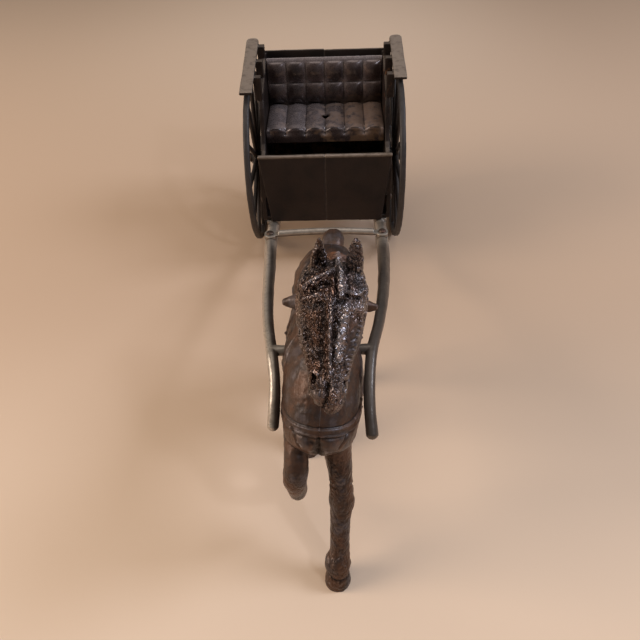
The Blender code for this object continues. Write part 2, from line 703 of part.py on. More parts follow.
def make_cross_bar():
    """The arched bar between the shafts, with a flat eye at each end."""
    middle_height = bar_seat() + SEAM + BAR_EYE_THICKNESS / 2
    path = []
    steps = 12
    for index in range(steps + 1):
        share = 2 * index / steps - 1
        path.append(Vector((share * BAR_SPREAD, from_axle(BAR_Y),
                            middle_height + 0.0006 + BAR_RISE * (1 - share * share))))
    cross_bar = bar(path, [BAR_RADIUS] * len(path))
    base = bar_seat() + SEAM
    for side in SIDES.values():
        x = side * BAR_SPREAD
        y = from_axle(BAR_Y)
        union(cross_bar, rod((x, y, base), (x, y, base + BAR_EYE_THICKNESS), BAR_EYE_RADIUS,
                             segments=18))
        cut(cross_bar, block((x - 0.005, y - 0.005, base - 0.005), (x + 0.005, y + 0.005, base)),
            block((x - 0.004, y - 0.005, base + BAR_EYE_THICKNESS),
                  (x + 0.004, y + 0.005, base + 0.010)),
            rod((x, y, base - 0.004), (x, y, base + 0.006), RIVET_RADIUS + SEAM, segments=14))
        cut(cross_bar, block((min(side * (BAR_SPREAD + BAR_EYE_RADIUS * 0.9), side * 0.04), y - 0.005,
                              base - 0.01),
                             (max(side * (BAR_SPREAD + BAR_EYE_RADIUS * 0.9), side * 0.04), y + 0.005,
                              base + 0.01)))
    return finish_piece(cross_bar, "cross_bar", CAST_GREY)


def make_cart_rivets():
    """The rivets of the tangs and of the cross bar, and the two tie rods."""
    top = FLOOR_BOTTOM - SEAM
    for side_name, side in SIDES.items():
        x = side * TANG_SPREAD
        for place, y in zip(("front", "rear"), tang_rivets()):
            rivet(f"shaft_rivet_{side_name}_{place}",
                  (x, from_axle(y), top - 2 * SHAFT_RADIUS - SEAM),
                  (x, from_axle(y), FLOOR_BOTTOM + SHEET + SEAM),
                  RIVET_RADIUS, RIVET_HEAD_RADIUS, STEEL)
        x = side * BAR_SPREAD
        rivet(f"cross_bar_rivet_{side_name}",
              (x, from_axle(BAR_Y), BAR_FOOT - SHAFT_RADIUS + 0.0010 - SEAM),
              (x, from_axle(BAR_Y), bar_seat() + BAR_EYE_THICKNESS + 2 * SEAM),
              RIVET_RADIUS, RIVET_HEAD_RADIUS, STEEL)
    for name, (y, z) in TIE_PLACES.items():
        reach = BODY_HALF_WIDTH + SEAM
        rivet(name, (-reach, from_axle(y), z), (reach, from_axle(y), z), TIE_RADIUS,
              RIVET_HEAD_RADIUS, STEEL)


# Horse stations: (x, y behind the pivot, height, half width, half depth)
BARREL = [(0, 0.0550, 0.0715, 0.0030, 0.0035), (0, 0.0520, 0.0700, 0.0080, 0.0092),
          (0, 0.0445, 0.0672, 0.0115, 0.0130), (0, 0.0345, 0.0692, 0.0126, 0.0150),
          (-0.0002, 0.0230, 0.0685, 0.0118, 0.0145), (-0.0008, 0.0110, 0.0665, 0.0122, 0.0162),
          (-0.0007, -0.0010, 0.0660, 0.0130, 0.0178), (-0.0003, -0.0110, 0.0640, 0.0127, 0.0185),
          (0, -0.0190, 0.0590, 0.0122, 0.0165), (0, -0.0230, 0.0535, 0.0100, 0.0125),
          (0, -0.0250, 0.0505, 0.0030, 0.0045)]
NECK = [(0, 0.0010, 0.0690, 0.0090, 0.0150), (0.0004, -0.0040, 0.0850, 0.0082, 0.0140),
        (0.0010, -0.0075, 0.0985, 0.0073, 0.0110), (0.0015, -0.0100, 0.1085, 0.0066, 0.0085),
        (0.0017, -0.0125, 0.1140, 0.0045, 0.0060)]
HEAD = [(0.0017, -0.0060, 0.1160, 0.0050, 0.0042), (0.0016, -0.0110, 0.1125, 0.0084, 0.0080),
        (0.0015, -0.0175, 0.1070, 0.0093, 0.0090), (0.0016, -0.0250, 0.1010, 0.0079, 0.0078),
        (0.0019, -0.0325, 0.0950, 0.0059, 0.0062), (0.0019, -0.0375, 0.0910, 0.0049, 0.0058),
        (0.0017, -0.0402, 0.0890, 0.0030, 0.0038)]
TAIL = [(0.0004, 0.0420, 0.0762, 0.0034, 0.0030), (0.0004, 0.0500, 0.0795, 0.0040, 0.0034),
        (0.0004, 0.0570, 0.0760, 0.0042, 0.0036), (0, 0.0600, 0.0640, 0.0046, 0.0038),
        (0, 0.0595, 0.0510, 0.0044, 0.0036), (0, 0.0580, 0.0390, 0.0030, 0.0026),
        (0, 0.0575, 0.0330, 0.0012, 0.0012)]
FORELEG_DOWN = [(0.0058, -0.0080, 0.0620, 0.0050, 0.0080), (0.0056, -0.0165, 0.0480, 0.0050, 0.0068),
                (0.0076, -0.0240, 0.0370, 0.0041, 0.0050), (0.0086, -0.0290, 0.0290, 0.0041, 0.0046),
                (0.0086, -0.0330, 0.0220, 0.0035, 0.0036),
                (HOOF_SPREAD, -0.0380, 0.0120, 0.0035, 0.0036),
                (0.0087, -0.0405, 0.0080, 0.0046, 0.0044),
                (HOOF_SPREAD, 0.0058 - TOE_REACH, 0.0050, 0.0038, 0.0042),
                (HOOF_SPREAD, 0.0052 - TOE_REACH, 0.0020, 0.0044, 0.0048),
                (HOOF_SPREAD, 0.0050 - TOE_REACH, -0.0010, 0.0045, 0.0050)]
FORELEG_UP = [(-0.0066, -0.0080, 0.0620, 0.0048, 0.0080), (-0.0072, -0.0190, 0.0540, 0.0046, 0.0066),
              (-0.0070, -0.0290, 0.0475, 0.0040, 0.0050), (-0.0068, -0.0335, 0.0425, 0.0040, 0.0044),
              (-0.0070, -0.0315, 0.0370, 0.0034, 0.0036), (-0.0074, -0.0270, 0.0315, 0.0032, 0.0034),
              (-0.0078, -0.0240, 0.0280, 0.0039, 0.0040), (-0.0078, -0.0210, 0.0250, 0.0036, 0.0038),
              (-0.0078, -0.0175, 0.0215, 0.0042, 0.0046)]
HINDLEG_FORWARD = [(-0.0065, 0.0400, 0.0710, 0.0058, 0.0110), (-0.0080, 0.0340, 0.0560, 0.0054, 0.0100),
                   (-0.0080, 0.0330, 0.0450, 0.0042, 0.0068), (-0.0078, 0.0350, 0.0350, 0.0036, 0.0052),
                   (-0.0070, 0.0290, 0.0260, 0.0032, 0.0036), (-0.0060, 0.0215, 0.0150, 0.0032, 0.0034),
                   (-0.0055, 0.0170, 0.0090, 0.0040, 0.0040), (-0.0050, 0.0140, 0.0050, 0.0037, 0.0040),
                   (-0.0050, 0.0125, 0.0020, 0.0043, 0.0048), (-0.0050, 0.0120, -0.0010, 0.0045, 0.0050)]
HINDLEG_BACK = [(0.0065, 0.0400, 0.0710, 0.0058, 0.0110), (0.0080, 0.0400, 0.0560, 0.0054, 0.0100),
                (0.0080, 0.0460, 0.0450, 0.0042, 0.0068), (0.0078, 0.0530, 0.0360, 0.0036, 0.0052),
                (0.0078, 0.0535, 0.0270, 0.0032, 0.0036), (0.0080, 0.0525, 0.0150, 0.0032, 0.0034),
                (0.0082, 0.0510, 0.0085, 0.0040, 0.0040), (0.0084, 0.0495, 0.0050, 0.0037, 0.0040),
                (0.0084, 0.0485, 0.0020, 0.0043, 0.0048), (0.0084, 0.0480, -0.0010, 0.0045, 0.0050)]


def about_pivot(stations):
    """Stations with their heights measured from the pivot instead of the floor."""
    return [(x, y, z - PIVOT_HEIGHT, half_width, half_depth)
            for x, y, z, half_width, half_depth in stations]


def horse_loft(stations, count, **options):
    """A loft through stations given above the floor."""
    return loft(about_pivot(stations), count, **options)


def make_ear(side_name):
    """One ear: a bent cone that stands on the poll."""
    x = EAR_PLACE[side_name]
    base = HEAD_TOP - 0.0035
    wide = EAR_HALF_WIDTH
    return horse_loft([(x, -0.0115, base, wide, 0.0022),
                       (x, -0.0120, base + EAR_LENGTH * 0.35, wide, 0.0019),
                       (x, -0.0135, base + EAR_LENGTH * 0.75, wide * 0.65, 0.0012),
                       (x, -0.0145, base + EAR_LENGTH, wide * 0.15, 0.0004)], 8, steps=1)


def make_saddle_peg(side):
    """A conical side peg of the saddle."""
    z = PEG_HEIGHT - PIVOT_HEIGHT
    return rod((side * 0.0095, PEG_Y, z), (side * PEG_REACH, PEG_Y, z), PEG_BASE_RADIUS,
               PEG_TIP_RADIUS, segments=14)


def horse_solid():
    """The whole horse as one solid, about its pivot."""
    horse = horse_loft(BARREL, 16)
    union(horse, horse_loft(NECK, 14), horse_loft(HEAD, 14))
    for stations in (FORELEG_DOWN, FORELEG_UP, HINDLEG_FORWARD, HINDLEG_BACK, TAIL):
        union(horse, horse_loft(stations, 9, steps=1))
    girth = horse_loft(BARREL, 16, grow=STRAP_HEIGHT)
    combine(girth, block((-0.03, PEG_Y - 0.0030, -0.05), (0.03, PEG_Y + 0.0030, 0.05)), "INTERSECT")
    union(horse, girth)
    for side_name, side in SIDES.items():
        union(horse, make_ear(side_name), make_saddle_peg(side))
    return horse


def make_horse():
    """The two half shells of the horse and their rivets, on one empty at the pivot."""
    pivot = bpy.data.objects.new("horse_axis", None)
    pivot.location = (HORSE_SHIFT, from_axle(PIVOT_Y), PIVOT_HEIGHT)
    pivot.rotation_euler = (0, HORSE_LEAN, -HORSE_TURN)
    TOY.objects.link(pivot)
    bpy.context.view_layer.update()
    whole = horse_solid()
    ground = pivot.matrix_world.inverted() @ Matrix.Translation((0, from_axle(PIVOT_Y), 0))
    for side_name, side in SIDES.items():
        half = half_of(whole, side)
        cut(half, horse_loft(BARREL[2:9], 14, steps=1, grow=-SHELL))
        through = 2 * HORSE_RIVET_HALF
        cut(half, rod((-through, 0, 0), (through, 0, 0), LUG_RADIUS + PIVOT_PLAY, segments=18))
        for y, z in (SHOULDER_RIVET, RUMP_RIVET):
            height = z - PIVOT_HEIGHT
            cut(half, rod((-through, y, height), (through, y, height),
                          HORSE_RIVET_RADIUS + SEAM, segments=12))
            cut(half, rod((side * HORSE_RIVET_HALF, y, height), (side * through, y, height),
                          HORSE_RIVET_HEAD + SEAM, segments=14))
        under = block((-0.05, -0.1, -0.05), (0.05, 0.1, 0))
        under.data.transform(ground)
        cut(half, under)
        finish_piece(half, "horse_" + side_name, HORSE_BROWN, pivot)
    bpy.data.objects.remove(whole, do_unlink=True)
    reach = HORSE_RIVET_HALF + SEAM
    for place, (y, z) in (("shoulder", SHOULDER_RIVET), ("rump", RUMP_RIVET)):
        height = z - PIVOT_HEIGHT
        rivet("horse_rivet_" + place, (-reach, y, height), (reach, y, height), HORSE_RIVET_RADIUS,
              HORSE_RIVET_HEAD, STEEL, pivot)


def main():
    """Build the whole toy."""
    for side_name, side in SIDES.items():
        make_body_half(side_name)
        make_wheel("wheel_" + side_name, side)
        make_shaft(side_name)
    make_axle()
    make_seat()
    make_cross_bar()
    make_cart_rivets()
    make_horse()


main()
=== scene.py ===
"""Looks of a cast iron toy carriage drawn by one trotting horse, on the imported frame.

Metres, +Z up. The horse faces -Y, so the toy's own left is +X. The castings are drawn out of plain
stock by operators, fused and smoothed as iron from a sand mould is, and then worked with strokes.
"""
from __future__ import annotations

import json
import logging
import math
from collections.abc import Iterable, Sequence
from dataclasses import dataclass
from enum import Enum

import bpy
import numpy as np
from mathutils import Euler, Matrix, Vector, noise

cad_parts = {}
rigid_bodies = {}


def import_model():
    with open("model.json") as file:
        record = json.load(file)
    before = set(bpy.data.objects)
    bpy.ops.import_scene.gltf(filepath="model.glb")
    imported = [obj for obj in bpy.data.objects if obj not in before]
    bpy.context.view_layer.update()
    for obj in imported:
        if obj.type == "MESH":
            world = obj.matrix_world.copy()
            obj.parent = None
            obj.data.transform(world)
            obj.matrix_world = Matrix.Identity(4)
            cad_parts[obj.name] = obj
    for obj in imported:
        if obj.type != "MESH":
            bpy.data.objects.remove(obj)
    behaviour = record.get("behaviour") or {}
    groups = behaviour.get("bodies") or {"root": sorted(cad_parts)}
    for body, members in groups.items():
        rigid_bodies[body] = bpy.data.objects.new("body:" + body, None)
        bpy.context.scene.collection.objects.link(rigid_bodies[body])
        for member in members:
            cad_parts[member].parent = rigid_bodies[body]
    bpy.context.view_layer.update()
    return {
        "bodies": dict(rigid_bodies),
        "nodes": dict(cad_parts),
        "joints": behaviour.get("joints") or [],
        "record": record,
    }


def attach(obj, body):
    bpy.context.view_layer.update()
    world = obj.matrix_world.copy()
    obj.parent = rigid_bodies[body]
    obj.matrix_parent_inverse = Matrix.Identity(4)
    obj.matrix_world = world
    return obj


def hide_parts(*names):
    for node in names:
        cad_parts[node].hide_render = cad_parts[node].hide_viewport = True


LOG = logging.getLogger("toy_carriage")

SEAM = 0.0003
MM = 0.001

Point = tuple[float, float, float]
Station = tuple[float, float, float, float, float]
Path2 = Sequence[tuple[float, float]]
Mark = tuple[Path2, float, float]


class Side(Enum):
    """The toy's own left and right."""

    LEFT = 1
    RIGHT = -1

    @property
    def label(self) -> str:
        """The word that node names end with."""
        return self.name.lower()


class View(Enum):
    """The direction that a stroke is drawn from, as the two axes it is drawn in."""

    SIDE = (1, 2)
    FRONT = (0, 2)
    TOP = (0, 1)


# ---------------------------------------------------------------------------------------------
# Materials
# ---------------------------------------------------------------------------------------------


def linear(code: str) -> tuple[float, float, float, float]:
    """Turns an sRGB hex colour into the linear colour that a shader takes.

    Args:
        code: six hex digits with a leading #.

    Returns:
        The linear red, green, blue and an alpha of one.
    """
    shares = [int(code[start:start + 2], 16) / 255 for start in (1, 3, 5)]
    red, green, blue = (s / 12.92 if s <= 0.04045 else ((s + 0.055) / 1.055) ** 2.4 for s in shares)
    return (red, green, blue, 1.0)


def add_node(tree: bpy.types.NodeTree, kind: str, settings: dict | None = None,
             values: dict | None = None, links: dict | None = None) -> bpy.types.Node:
    """Adds one node with its settings, socket values and incoming links.

    Args:
        tree: the material's or world's nodes.
        kind: the node's Blender type.
        settings: attributes of the node itself.
        values: input socket name or number, and the value it holds.
        links: input socket name or number, and the output socket that feeds it.

    Returns:
        The new node.
    """
    node = tree.nodes.new(kind)
    for name, value in (settings or {}).items():
        setattr(node, name, value)
    for key, value in (values or {}).items():
        node.inputs[key].default_value = value
    for key, source in (links or {}).items():
        tree.links.new(source, node.inputs[key])
    return node


def ramp(tree: bpy.types.NodeTree, source: bpy.types.NodeSocket, low: float, high: float,
         to_low: float = 0.0, to_high: float = 1.0) -> bpy.types.NodeSocket:
    """Spreads the part of a value between two limits over another range, smoothly and held.

    Args:
        tree: the material's nodes.
        source: the value.
        low: the value that gives to_low.
        high: the value that gives to_high.
        to_low: result at the low limit.
        to_high: result at the high limit.

    Returns:
        The socket with the result.
    """
    node = add_node(tree, "ShaderNodeMapRange", {"interpolation_type": "SMOOTHSTEP"},
                    {1: low, 2: high, 3: to_low, 4: to_high}, {0: source})
    return node.outputs[0]


def maths(tree: bpy.types.NodeTree, operation: str, *terms: bpy.types.NodeSocket | float,
          clamp: bool = False) -> bpy.types.NodeSocket:
    """Works out one sum from sockets and numbers.

    Args:
        tree: the material's nodes.
        operation: the Math node's operation.
        terms: sockets or plain numbers, in order.
        clamp: whether the result is held between 0 and 1.

    Returns:
        The socket with the result.
    """
    node = add_node(tree, "ShaderNodeMath", {"operation": operation, "use_clamp": clamp})
    for index, term in enumerate(terms):
        if isinstance(term, (int, float)):
            node.inputs[index].default_value = term
        else:
            tree.links.new(term, node.inputs[index])
    return node.outputs[0]


def tint(tree: bpy.types.NodeTree, share: bpy.types.NodeSocket, first: bpy.types.NodeSocket | str,
         second: bpy.types.NodeSocket | str) -> bpy.types.NodeSocket:
    """Mixes two colours by a share.

    Args:
        tree: the material's nodes.
        share: how much of the second colour shows.
        first: a colour socket or hex colour.
        second: a colour socket or hex colour.

    Returns:
        The mixed colour's socket.
    """
    node = add_node(tree, "ShaderNodeMix", {"data_type": "RGBA", "clamp_factor": True},
                    links={"Factor": share})
    for socket, colour in ((node.inputs[6], first), (node.inputs[7], second)):
        if isinstance(colour, str):
            socket.default_value = linear(colour)
        else:
            tree.links.new(colour, socket)
    return node.outputs[2]


@dataclass(frozen=True)
class OldIron:
    """Old grey cast iron from a sand mould: its skin, its rubbed crests with painted highlights, and its
    rust.

    Sizes are in millimetres, as on the real thing.
    """

    name: str
    skin: str
    shade: str
    rubbed_and_lit: str
    rust: str
    smooth: float = 0.38
    rough: float = 0.62
    metallic: float = 0.75
    grain: float = 0.55
    grain_depth: float = 0.035
    pit: float = 2.1
    pit_depth: float = 0.05
    rust_from: float = 0.60
    rubbed_share: float = 0.5
    mottle: float = 0.15
    tinge: float = 0.0
    haze_and_sheen: float = 0.0
    foil: float = 0.0
    coat: float = 0.0
    coat_rough: float = 0.17

    def make(self) -> bpy.types.Material:
        """Builds the node material.

        Returns:
            The material, ready for a piece's slot.
        """
        made = bpy.data.materials.new(self.name)
        made.use_nodes = True
        tree = made.node_tree
        shader = tree.nodes["Principled BSDF"]
        place = add_node(tree, "ShaderNodeTexCoord").outputs["Object"]
        relief = add_node(tree, "ShaderNodeAttribute", {"attribute_name": "relief"}).outputs["Fac"]
        stain = add_node(tree, "ShaderNodeAttribute", {"attribute_name": "stain"}).outputs["Fac"]
        bare = add_node(tree, "ShaderNodeAttribute", {"attribute_name": "bare"}).outputs["Fac"]
        point = add_node(tree, "ShaderNodeNewGeometry").outputs["Pointiness"]

        # Clouds of 11 mm: where the old black finish is thicker or handled away.
        clouds = self.noise(tree, place, 11.0, 4, 0.55)
        colour = tint(tree, ramp(tree, clouds, 0.30, 0.60, 0.35, 1.0), self.shade, self.skin)
        # Grains of sand from the mould, and the blotches of a few grains.
        grain = self.noise(tree, place, self.grain, 5, 0.62)
        blotch = self.noise(tree, place, self.grain * 5, 5, 0.6)
        mottle = ramp(tree, blotch, 0.38, 0.66)
        colour = tint(tree, maths(tree, "MULTIPLY", mottle, self.mottle), colour, self.shade)
        # Rust in soft patches of about 7 mm, thickest where the attribute says.
        patches = self.noise(tree, place, 7.0, 6, 0.62)
        colour = tint(tree, ramp(tree, patches, 0.42, 0.60, 0.0, self.tinge), colour, self.rust)
        # A grey-blue haze in random patches, for dulled wax and as a painted cool sheen
        colour = tint(tree, ramp(tree, patches, 0.46, 0.36, 0.0, self.haze_and_sheen), colour, "#6f666b")
        reach = maths(tree, "MULTIPLY_ADD", stain, 0.28, patches)
        rusted = ramp(tree, reach, self.rust_from, self.rust_from + 0.13)
        rusted = maths(tree, "MULTIPLY", rusted, ramp(tree, grain, 0.30, 0.60, 0.55, 1.0))
        colour = tint(tree, rusted, colour, self.rust)
        # Hands have rubbed what stands proud down to the grey metal, and an attribute adds painted highlights
        # in the same colour; dirt sits in the hollows, and negative relief adds painted shade in the same
        # dark colour.
        rub_and_highlight = maths(tree, "ADD", ramp(tree, point, 0.53, 0.60), ramp(tree, relief, 0.15, 0.90, 0.0, 0.5))
        rub_and_highlight = maths(tree, "MULTIPLY", rub_and_highlight, self.rubbed_share)
        rub_and_highlight = maths(tree, "ADD", rub_and_highlight, bare)
        rub_and_highlight = maths(tree, "MULTIPLY", rub_and_highlight, ramp(tree, blotch, 0.30, 0.55, 0.6, 1.0), clamp=True)
        colour = tint(tree, rub_and_highlight, colour, self.rubbed_and_lit)
        dirt_and_shade = maths(tree, "ADD", ramp(tree, point, 0.495, 0.450), ramp(tree, relief, -0.10, -0.60),
                       clamp=True)
        colour = tint(tree, maths(tree, "MULTIPLY", dirt_and_shade, 0.8), colour, self.shade)
        tree.links.new(colour, shader.inputs["Base Color"])

        rough = ramp(tree, grain, 0.35, 0.65, self.smooth, self.rough)
        rough = maths(tree, "MULTIPLY_ADD", rusted, 0.25, rough)
        rough = maths(tree, "MULTIPLY_ADD", rub_and_highlight, -0.10, rough)
        pitted = add_node(tree, "ShaderNodeAttribute", {"attribute_name": "pitted"}).outputs["Fac"]
        rough = maths(tree, "MULTIPLY_ADD", pitted, -0.34, rough, clamp=True)
        tree.links.new(rough, shader.inputs["Roughness"])
        metal = maths(tree, "MULTIPLY_ADD", pitted, 0.30, self.metallic)
        metal = maths(tree, "MULTIPLY_ADD", rusted, -0.55 * self.metallic, metal, clamp=True)
        tree.links.new(metal, shader.inputs["Metallic"])
        shader.inputs["Coat Weight"].default_value = self.coat
        shader.inputs["Coat Roughness"].default_value = self.coat_rough

        pits = add_node(tree, "ShaderNodeTexVoronoi", {"feature": "SMOOTH_F1"},
                        {"Scale": 1000 / self.pit, "Smoothness": 0.5}, {"Vector": place})
        hole = ramp(tree, pits.outputs["Distance"], 0.02, 0.32)
        few = ramp(tree, self.noise(tree, place, self.pit * 3, 2, 0.5), 0.48, 0.62)
        hole = maths(tree, "MULTIPLY", maths(tree, "SUBTRACT", hole, 1.0), few)
        bump = self.bump(tree, hole, self.pit_depth)
        bump = self.bump(tree, grain, self.grain_depth, bump)
        if self.foil:
            # The head was cast from a coarse mould: crumpled facets of about 1 mm, drawn down the nose.
            nose = add_node(tree, "ShaderNodeMapping", {"vector_type": "TEXTURE"},
                            {"Rotation": (math.radians(-52), 0, 0), "Scale": (1, 1, 1.7)}, {"Vector": place})
            warp = self.noise(tree, nose.outputs[0], 1.4, 1, 0.5)
            moved = add_node(tree, "ShaderNodeVectorMath", {"operation": "MULTIPLY_ADD"},
                             {1: (0.0016, 0.0016, 0.0016)}, {0: warp, 2: nose.outputs[0]})
            cells = add_node(tree, "ShaderNodeTexVoronoi", {"feature": "F1"},
                             {"Scale": 1000 / 1.15}, {"Vector": moved.outputs[0]}).outputs["Distance"]
            domes = maths(tree, "MULTIPLY", cells, cells)
            # Sharp crests run where the folds' noise crosses its middle
            fold = maths(tree, "SUBTRACT", self.noise(tree, nose.outputs[0], 1.5, 1.5, 0.5), 0.5)
            crest_line = maths(tree, "MULTIPLY", maths(tree, "ABSOLUTE", fold), -3.6)
            crumple = maths(tree, "MULTIPLY_ADD", domes, -0.75, crest_line)
            bump = self.bump(tree, maths(tree, "MULTIPLY", crumple, pitted), self.foil, bump)
            tree.links.new(bump, shader.inputs["Coat Normal"])
        tree.links.new(bump, shader.inputs["Normal"])
        return made

    def noise(self, tree: bpy.types.NodeTree, place: bpy.types.NodeSocket, size: float,
              detail: float, roughness: float) -> bpy.types.NodeSocket:
        """Adds noise with features of a size in millimetres.

        Args:
            tree: the material's nodes.
            place: the object coordinates.
            size: feature size in millimetres.
            detail: the number of finer layers.
            roughness: how strong the finer layers are.

        Returns:
            The noise value's socket.
        """
        node = add_node(tree, "ShaderNodeTexNoise", values={
            "Scale": 1000 / size, "Detail": detail, "Roughness": roughness}, links={"Vector": place})
        return node.outputs["Fac"]

    def bump(self, tree: bpy.types.NodeTree, height: bpy.types.NodeSocket, depth: float,
             under: bpy.types.NodeSocket | None = None) -> bpy.types.NodeSocket:
        """Adds relief of a depth in millimetres over what is under it.

        Args:
            tree: the material's nodes.
            height: the height value.
            depth: millimetres for a height of one.
            under: the normal of coarser relief.

        Returns:
            The normal's socket.
        """
        links = {"Height": height}
        if under is not None:
            links["Normal"] = under
        node = add_node(tree, "ShaderNodeBump", values={"Strength": 1.0, "Distance": depth * MM},
                        links=links)
        return node.outputs["Normal"]


# Japanned black that has worn brown: satin, brown where thin, grey where it is handled and as painted top
# light on the fender tops.
BODY_IRON = OldIron("worn japanned cast iron", skin="#2a1d17", shade="#18100d", rubbed_and_lit="#a39182",
                    rust="#7d5233", smooth=0.42, rough=0.60, metallic=0.4, rust_from=0.72,
                    rubbed_share=0.25)
# The seat has lost its black: brown-grey iron with rust on the toy's left half.
SEAT_IRON = OldIron("rubbed seat iron", skin="#5c4b47", shade="#1d1414", rubbed_and_lit="#a89b9a",
                    rust="#7d5f48", smooth=0.24, rough=0.40, metallic=0.45, grain_depth=0.015,
                    rust_from=0.60, rubbed_share=0.2, coat=0.35)
# Thin wheel castings keep a blue-black skin from heat, brown inside the spokes.
WHEEL_IRON = OldIron("black wheel iron", skin="#39322f", shade="#211b19", rubbed_and_lit="#6c6766",
                     rust="#4a3325", smooth=0.40, rough=0.60, metallic=0.45, rust_from=0.66,
                     rubbed_share=0.2)
# Shafts are what hands take hold of: grey-brown metal with a dull shine; the light colour is also a painted
# highlight on the right shaft's outer side.
SHAFT_IRON = OldIron("handled shaft iron", skin="#564a41", shade="#382e27", rubbed_and_lit="#b8ab9d",
                     rust="#5f4632", smooth=0.34, rough=0.50, metallic=0.45, grain_depth=0.020,
                     rust_from=0.66, rubbed_share=0.15, coat=0.15)
# The horse's brown patina is waxed by handling; the head is coarse and glints.
HORSE_IRON = OldIron("waxed brown horse iron", skin="#4e3c33", shade="#241a17", rubbed_and_lit="#aea6aa",
                     rust="#7a4c2c", smooth=0.42, rough=0.58, metallic=0.42, grain_depth=0.060,
                     pit_depth=0.05, rust_from=0.66, rubbed_share=0.30, mottle=0.40, tinge=0.30,
                     haze_and_sheen=0.35, foil=0.80, coat=0.12, coat_rough=0.22)
# Soft iron rod, hammered over at its ends: bright dents over brown.
ROD_IRON = OldIron("peened rod iron", skin="#5c4b41", shade="#33261f", rubbed_and_lit="#9a8f86",
                   rust="#6a3628", smooth=0.32, rough=0.55, metallic=0.7, rust_from=0.56)


# ---------------------------------------------------------------------------------------------
# Bench: operators on one thing at a time
# ---------------------------------------------------------------------------------------------


def clear_bench() -> None:
    """Deselects everything, so that an operator touches only what is picked next."""
    if bpy.context.mode != "OBJECT":
        bpy.ops.object.mode_set(mode="OBJECT")
    bpy.ops.object.select_all(action="DESELECT")


def pick(*things: bpy.types.Object) -> None:
    """Selects only these objects and makes the first one active."""
    clear_bench()
    for thing in things:
        thing.select_set(True)
    bpy.context.view_layer.objects.active = things[0]


def apply_modifier(thing: bpy.types.Object, kind: str, **settings: object) -> None:
    """Adds a modifier to an object and applies it.

    Args:
        thing: the object.
        kind: the modifier's type.
        settings: its attributes.
    """
    pick(thing)
    modifier = thing.modifiers.new(kind.lower(), kind)
    for name, value in settings.items():
        setattr(modifier, name, value)
    bpy.ops.object.modifier_apply(modifier=modifier.name)


def smooth_rows(rows: Sequence[Sequence[float]], steps: int) -> np.ndarray:
    """Lays a smooth curve through rows of numbers, each row one station.

    Args:
        rows: the stations.
        steps: points between one station and the next.

    Returns:
        The points, one per row.
    """
    full = np.array([rows[0], *rows, rows[-1]], dtype=float)
    points = []
    for index in range(len(rows) - 1):
        a, b, c, d = full[index:index + 4]
        for step in range(steps):
            t = step / steps
            points.append(0.5 * (2 * b + (c - a) * t + (2 * a - 5 * b + 4 * c - d) * t * t
                                 + (3 * b - a - 3 * c + d) * t ** 3))
    points.append(full[-1])
    return np.array(points)


def coordinates(mesh: bpy.types.Mesh) -> np.ndarray:
    """Returns a mesh's points as rows of x, y and z."""
    flat = np.empty(len(mesh.vertices) * 3, dtype=np.float32)
    mesh.vertices.foreach_get("co", flat)
    return flat.reshape(-1, 3).astype(float)


def set_coordinates(mesh: bpy.types.Mesh, points: np.ndarray) -> None:
    """Writes a mesh's points back from rows of x, y and z."""
    mesh.vertices.foreach_set("co", points.astype(np.float32).ravel())
    mesh.update()


def read_vectors(mesh: bpy.types.Mesh, name: str) -> np.ndarray:
    """Takes a vector attribute off a mesh and returns it, one row for each point."""
    layer = mesh.attributes[name]
    flat = np.empty(len(mesh.vertices) * 3, dtype=np.float32)
    layer.data.foreach_get("vector", flat)
    mesh.attributes.remove(layer)
    return flat.reshape(-1, 3).astype(float)


def write_vectors(mesh: bpy.types.Mesh, name: str, rows: np.ndarray) -> None:
    """Keeps a vector for each point of a mesh as an attribute."""
    layer = mesh.attributes.new(name, "FLOAT_VECTOR", "POINT")
    layer.data.foreach_set("vector", rows.astype(np.float32).ravel())


def drawn_out(stations: Sequence[Station], sides: int = 16, steps: int = 3) -> bpy.types.Object:
    """Draws a bar out of a cylinder, ring after ring, and lays the rings on their stations.

    A ring stands square to the path, its width along X and its depth in the path's own plane.

    Args:
        stations: (x, y, z, half width, half depth) of each section.
        sides: corners of a ring.
        steps: rings between one station and the next.

    Returns:
        The closed bar.
    """
    rows = smooth_rows(stations, steps)
    clear_bench()
    bpy.ops.mesh.primitive_cylinder_add(vertices=sides, radius=1, depth=1, end_fill_type="NGON",
                                        location=(0, 0, 0.5))
    bar = bpy.context.active_object
    bpy.ops.object.transform_apply(location=True, rotation=False, scale=False)
    for face in bar.data.polygons:
        face.select = face.normal.z > 0.9
    for edge in bar.data.edges:
        edge.select = False
    bpy.ops.object.mode_set(mode="EDIT")
    bpy.ops.mesh.select_mode(type="FACE")
    for _ in range(len(rows) - 2):
        bpy.ops.mesh.extrude_region_move(TRANSFORM_OT_translate={"value": (0, 0, 1)})
    bpy.ops.mesh.select_all(action="SELECT")
    bpy.ops.object.mode_set(mode="OBJECT")
    points = coordinates(bar.data)
    ring = np.clip(np.rint(points[:, 2]).astype(int), 0, len(rows) - 1)
    centres = rows[:, :3]
    along = np.gradient(centres, axis=0)
    along /= np.linalg.norm(along, axis=1)[:, None]
    across = np.array([1.0, 0.0, 0.0]) - along * along[:, :1]
    across /= np.linalg.norm(across, axis=1)[:, None]
    depth = np.cross(along, across)
    placed = (centres[ring] + across[ring] * (points[:, :1] * rows[ring, 3:4])
              + depth[ring] * (points[:, 1:2] * rows[ring, 4:5]))
    set_coordinates(bar.data, placed)
    bpy.ops.object.mode_set(mode="EDIT")
    bpy.ops.mesh.select_all(action="SELECT")
    bpy.ops.mesh.normals_make_consistent(inside=False)
    bpy.ops.object.mode_set(mode="OBJECT")
    return bar


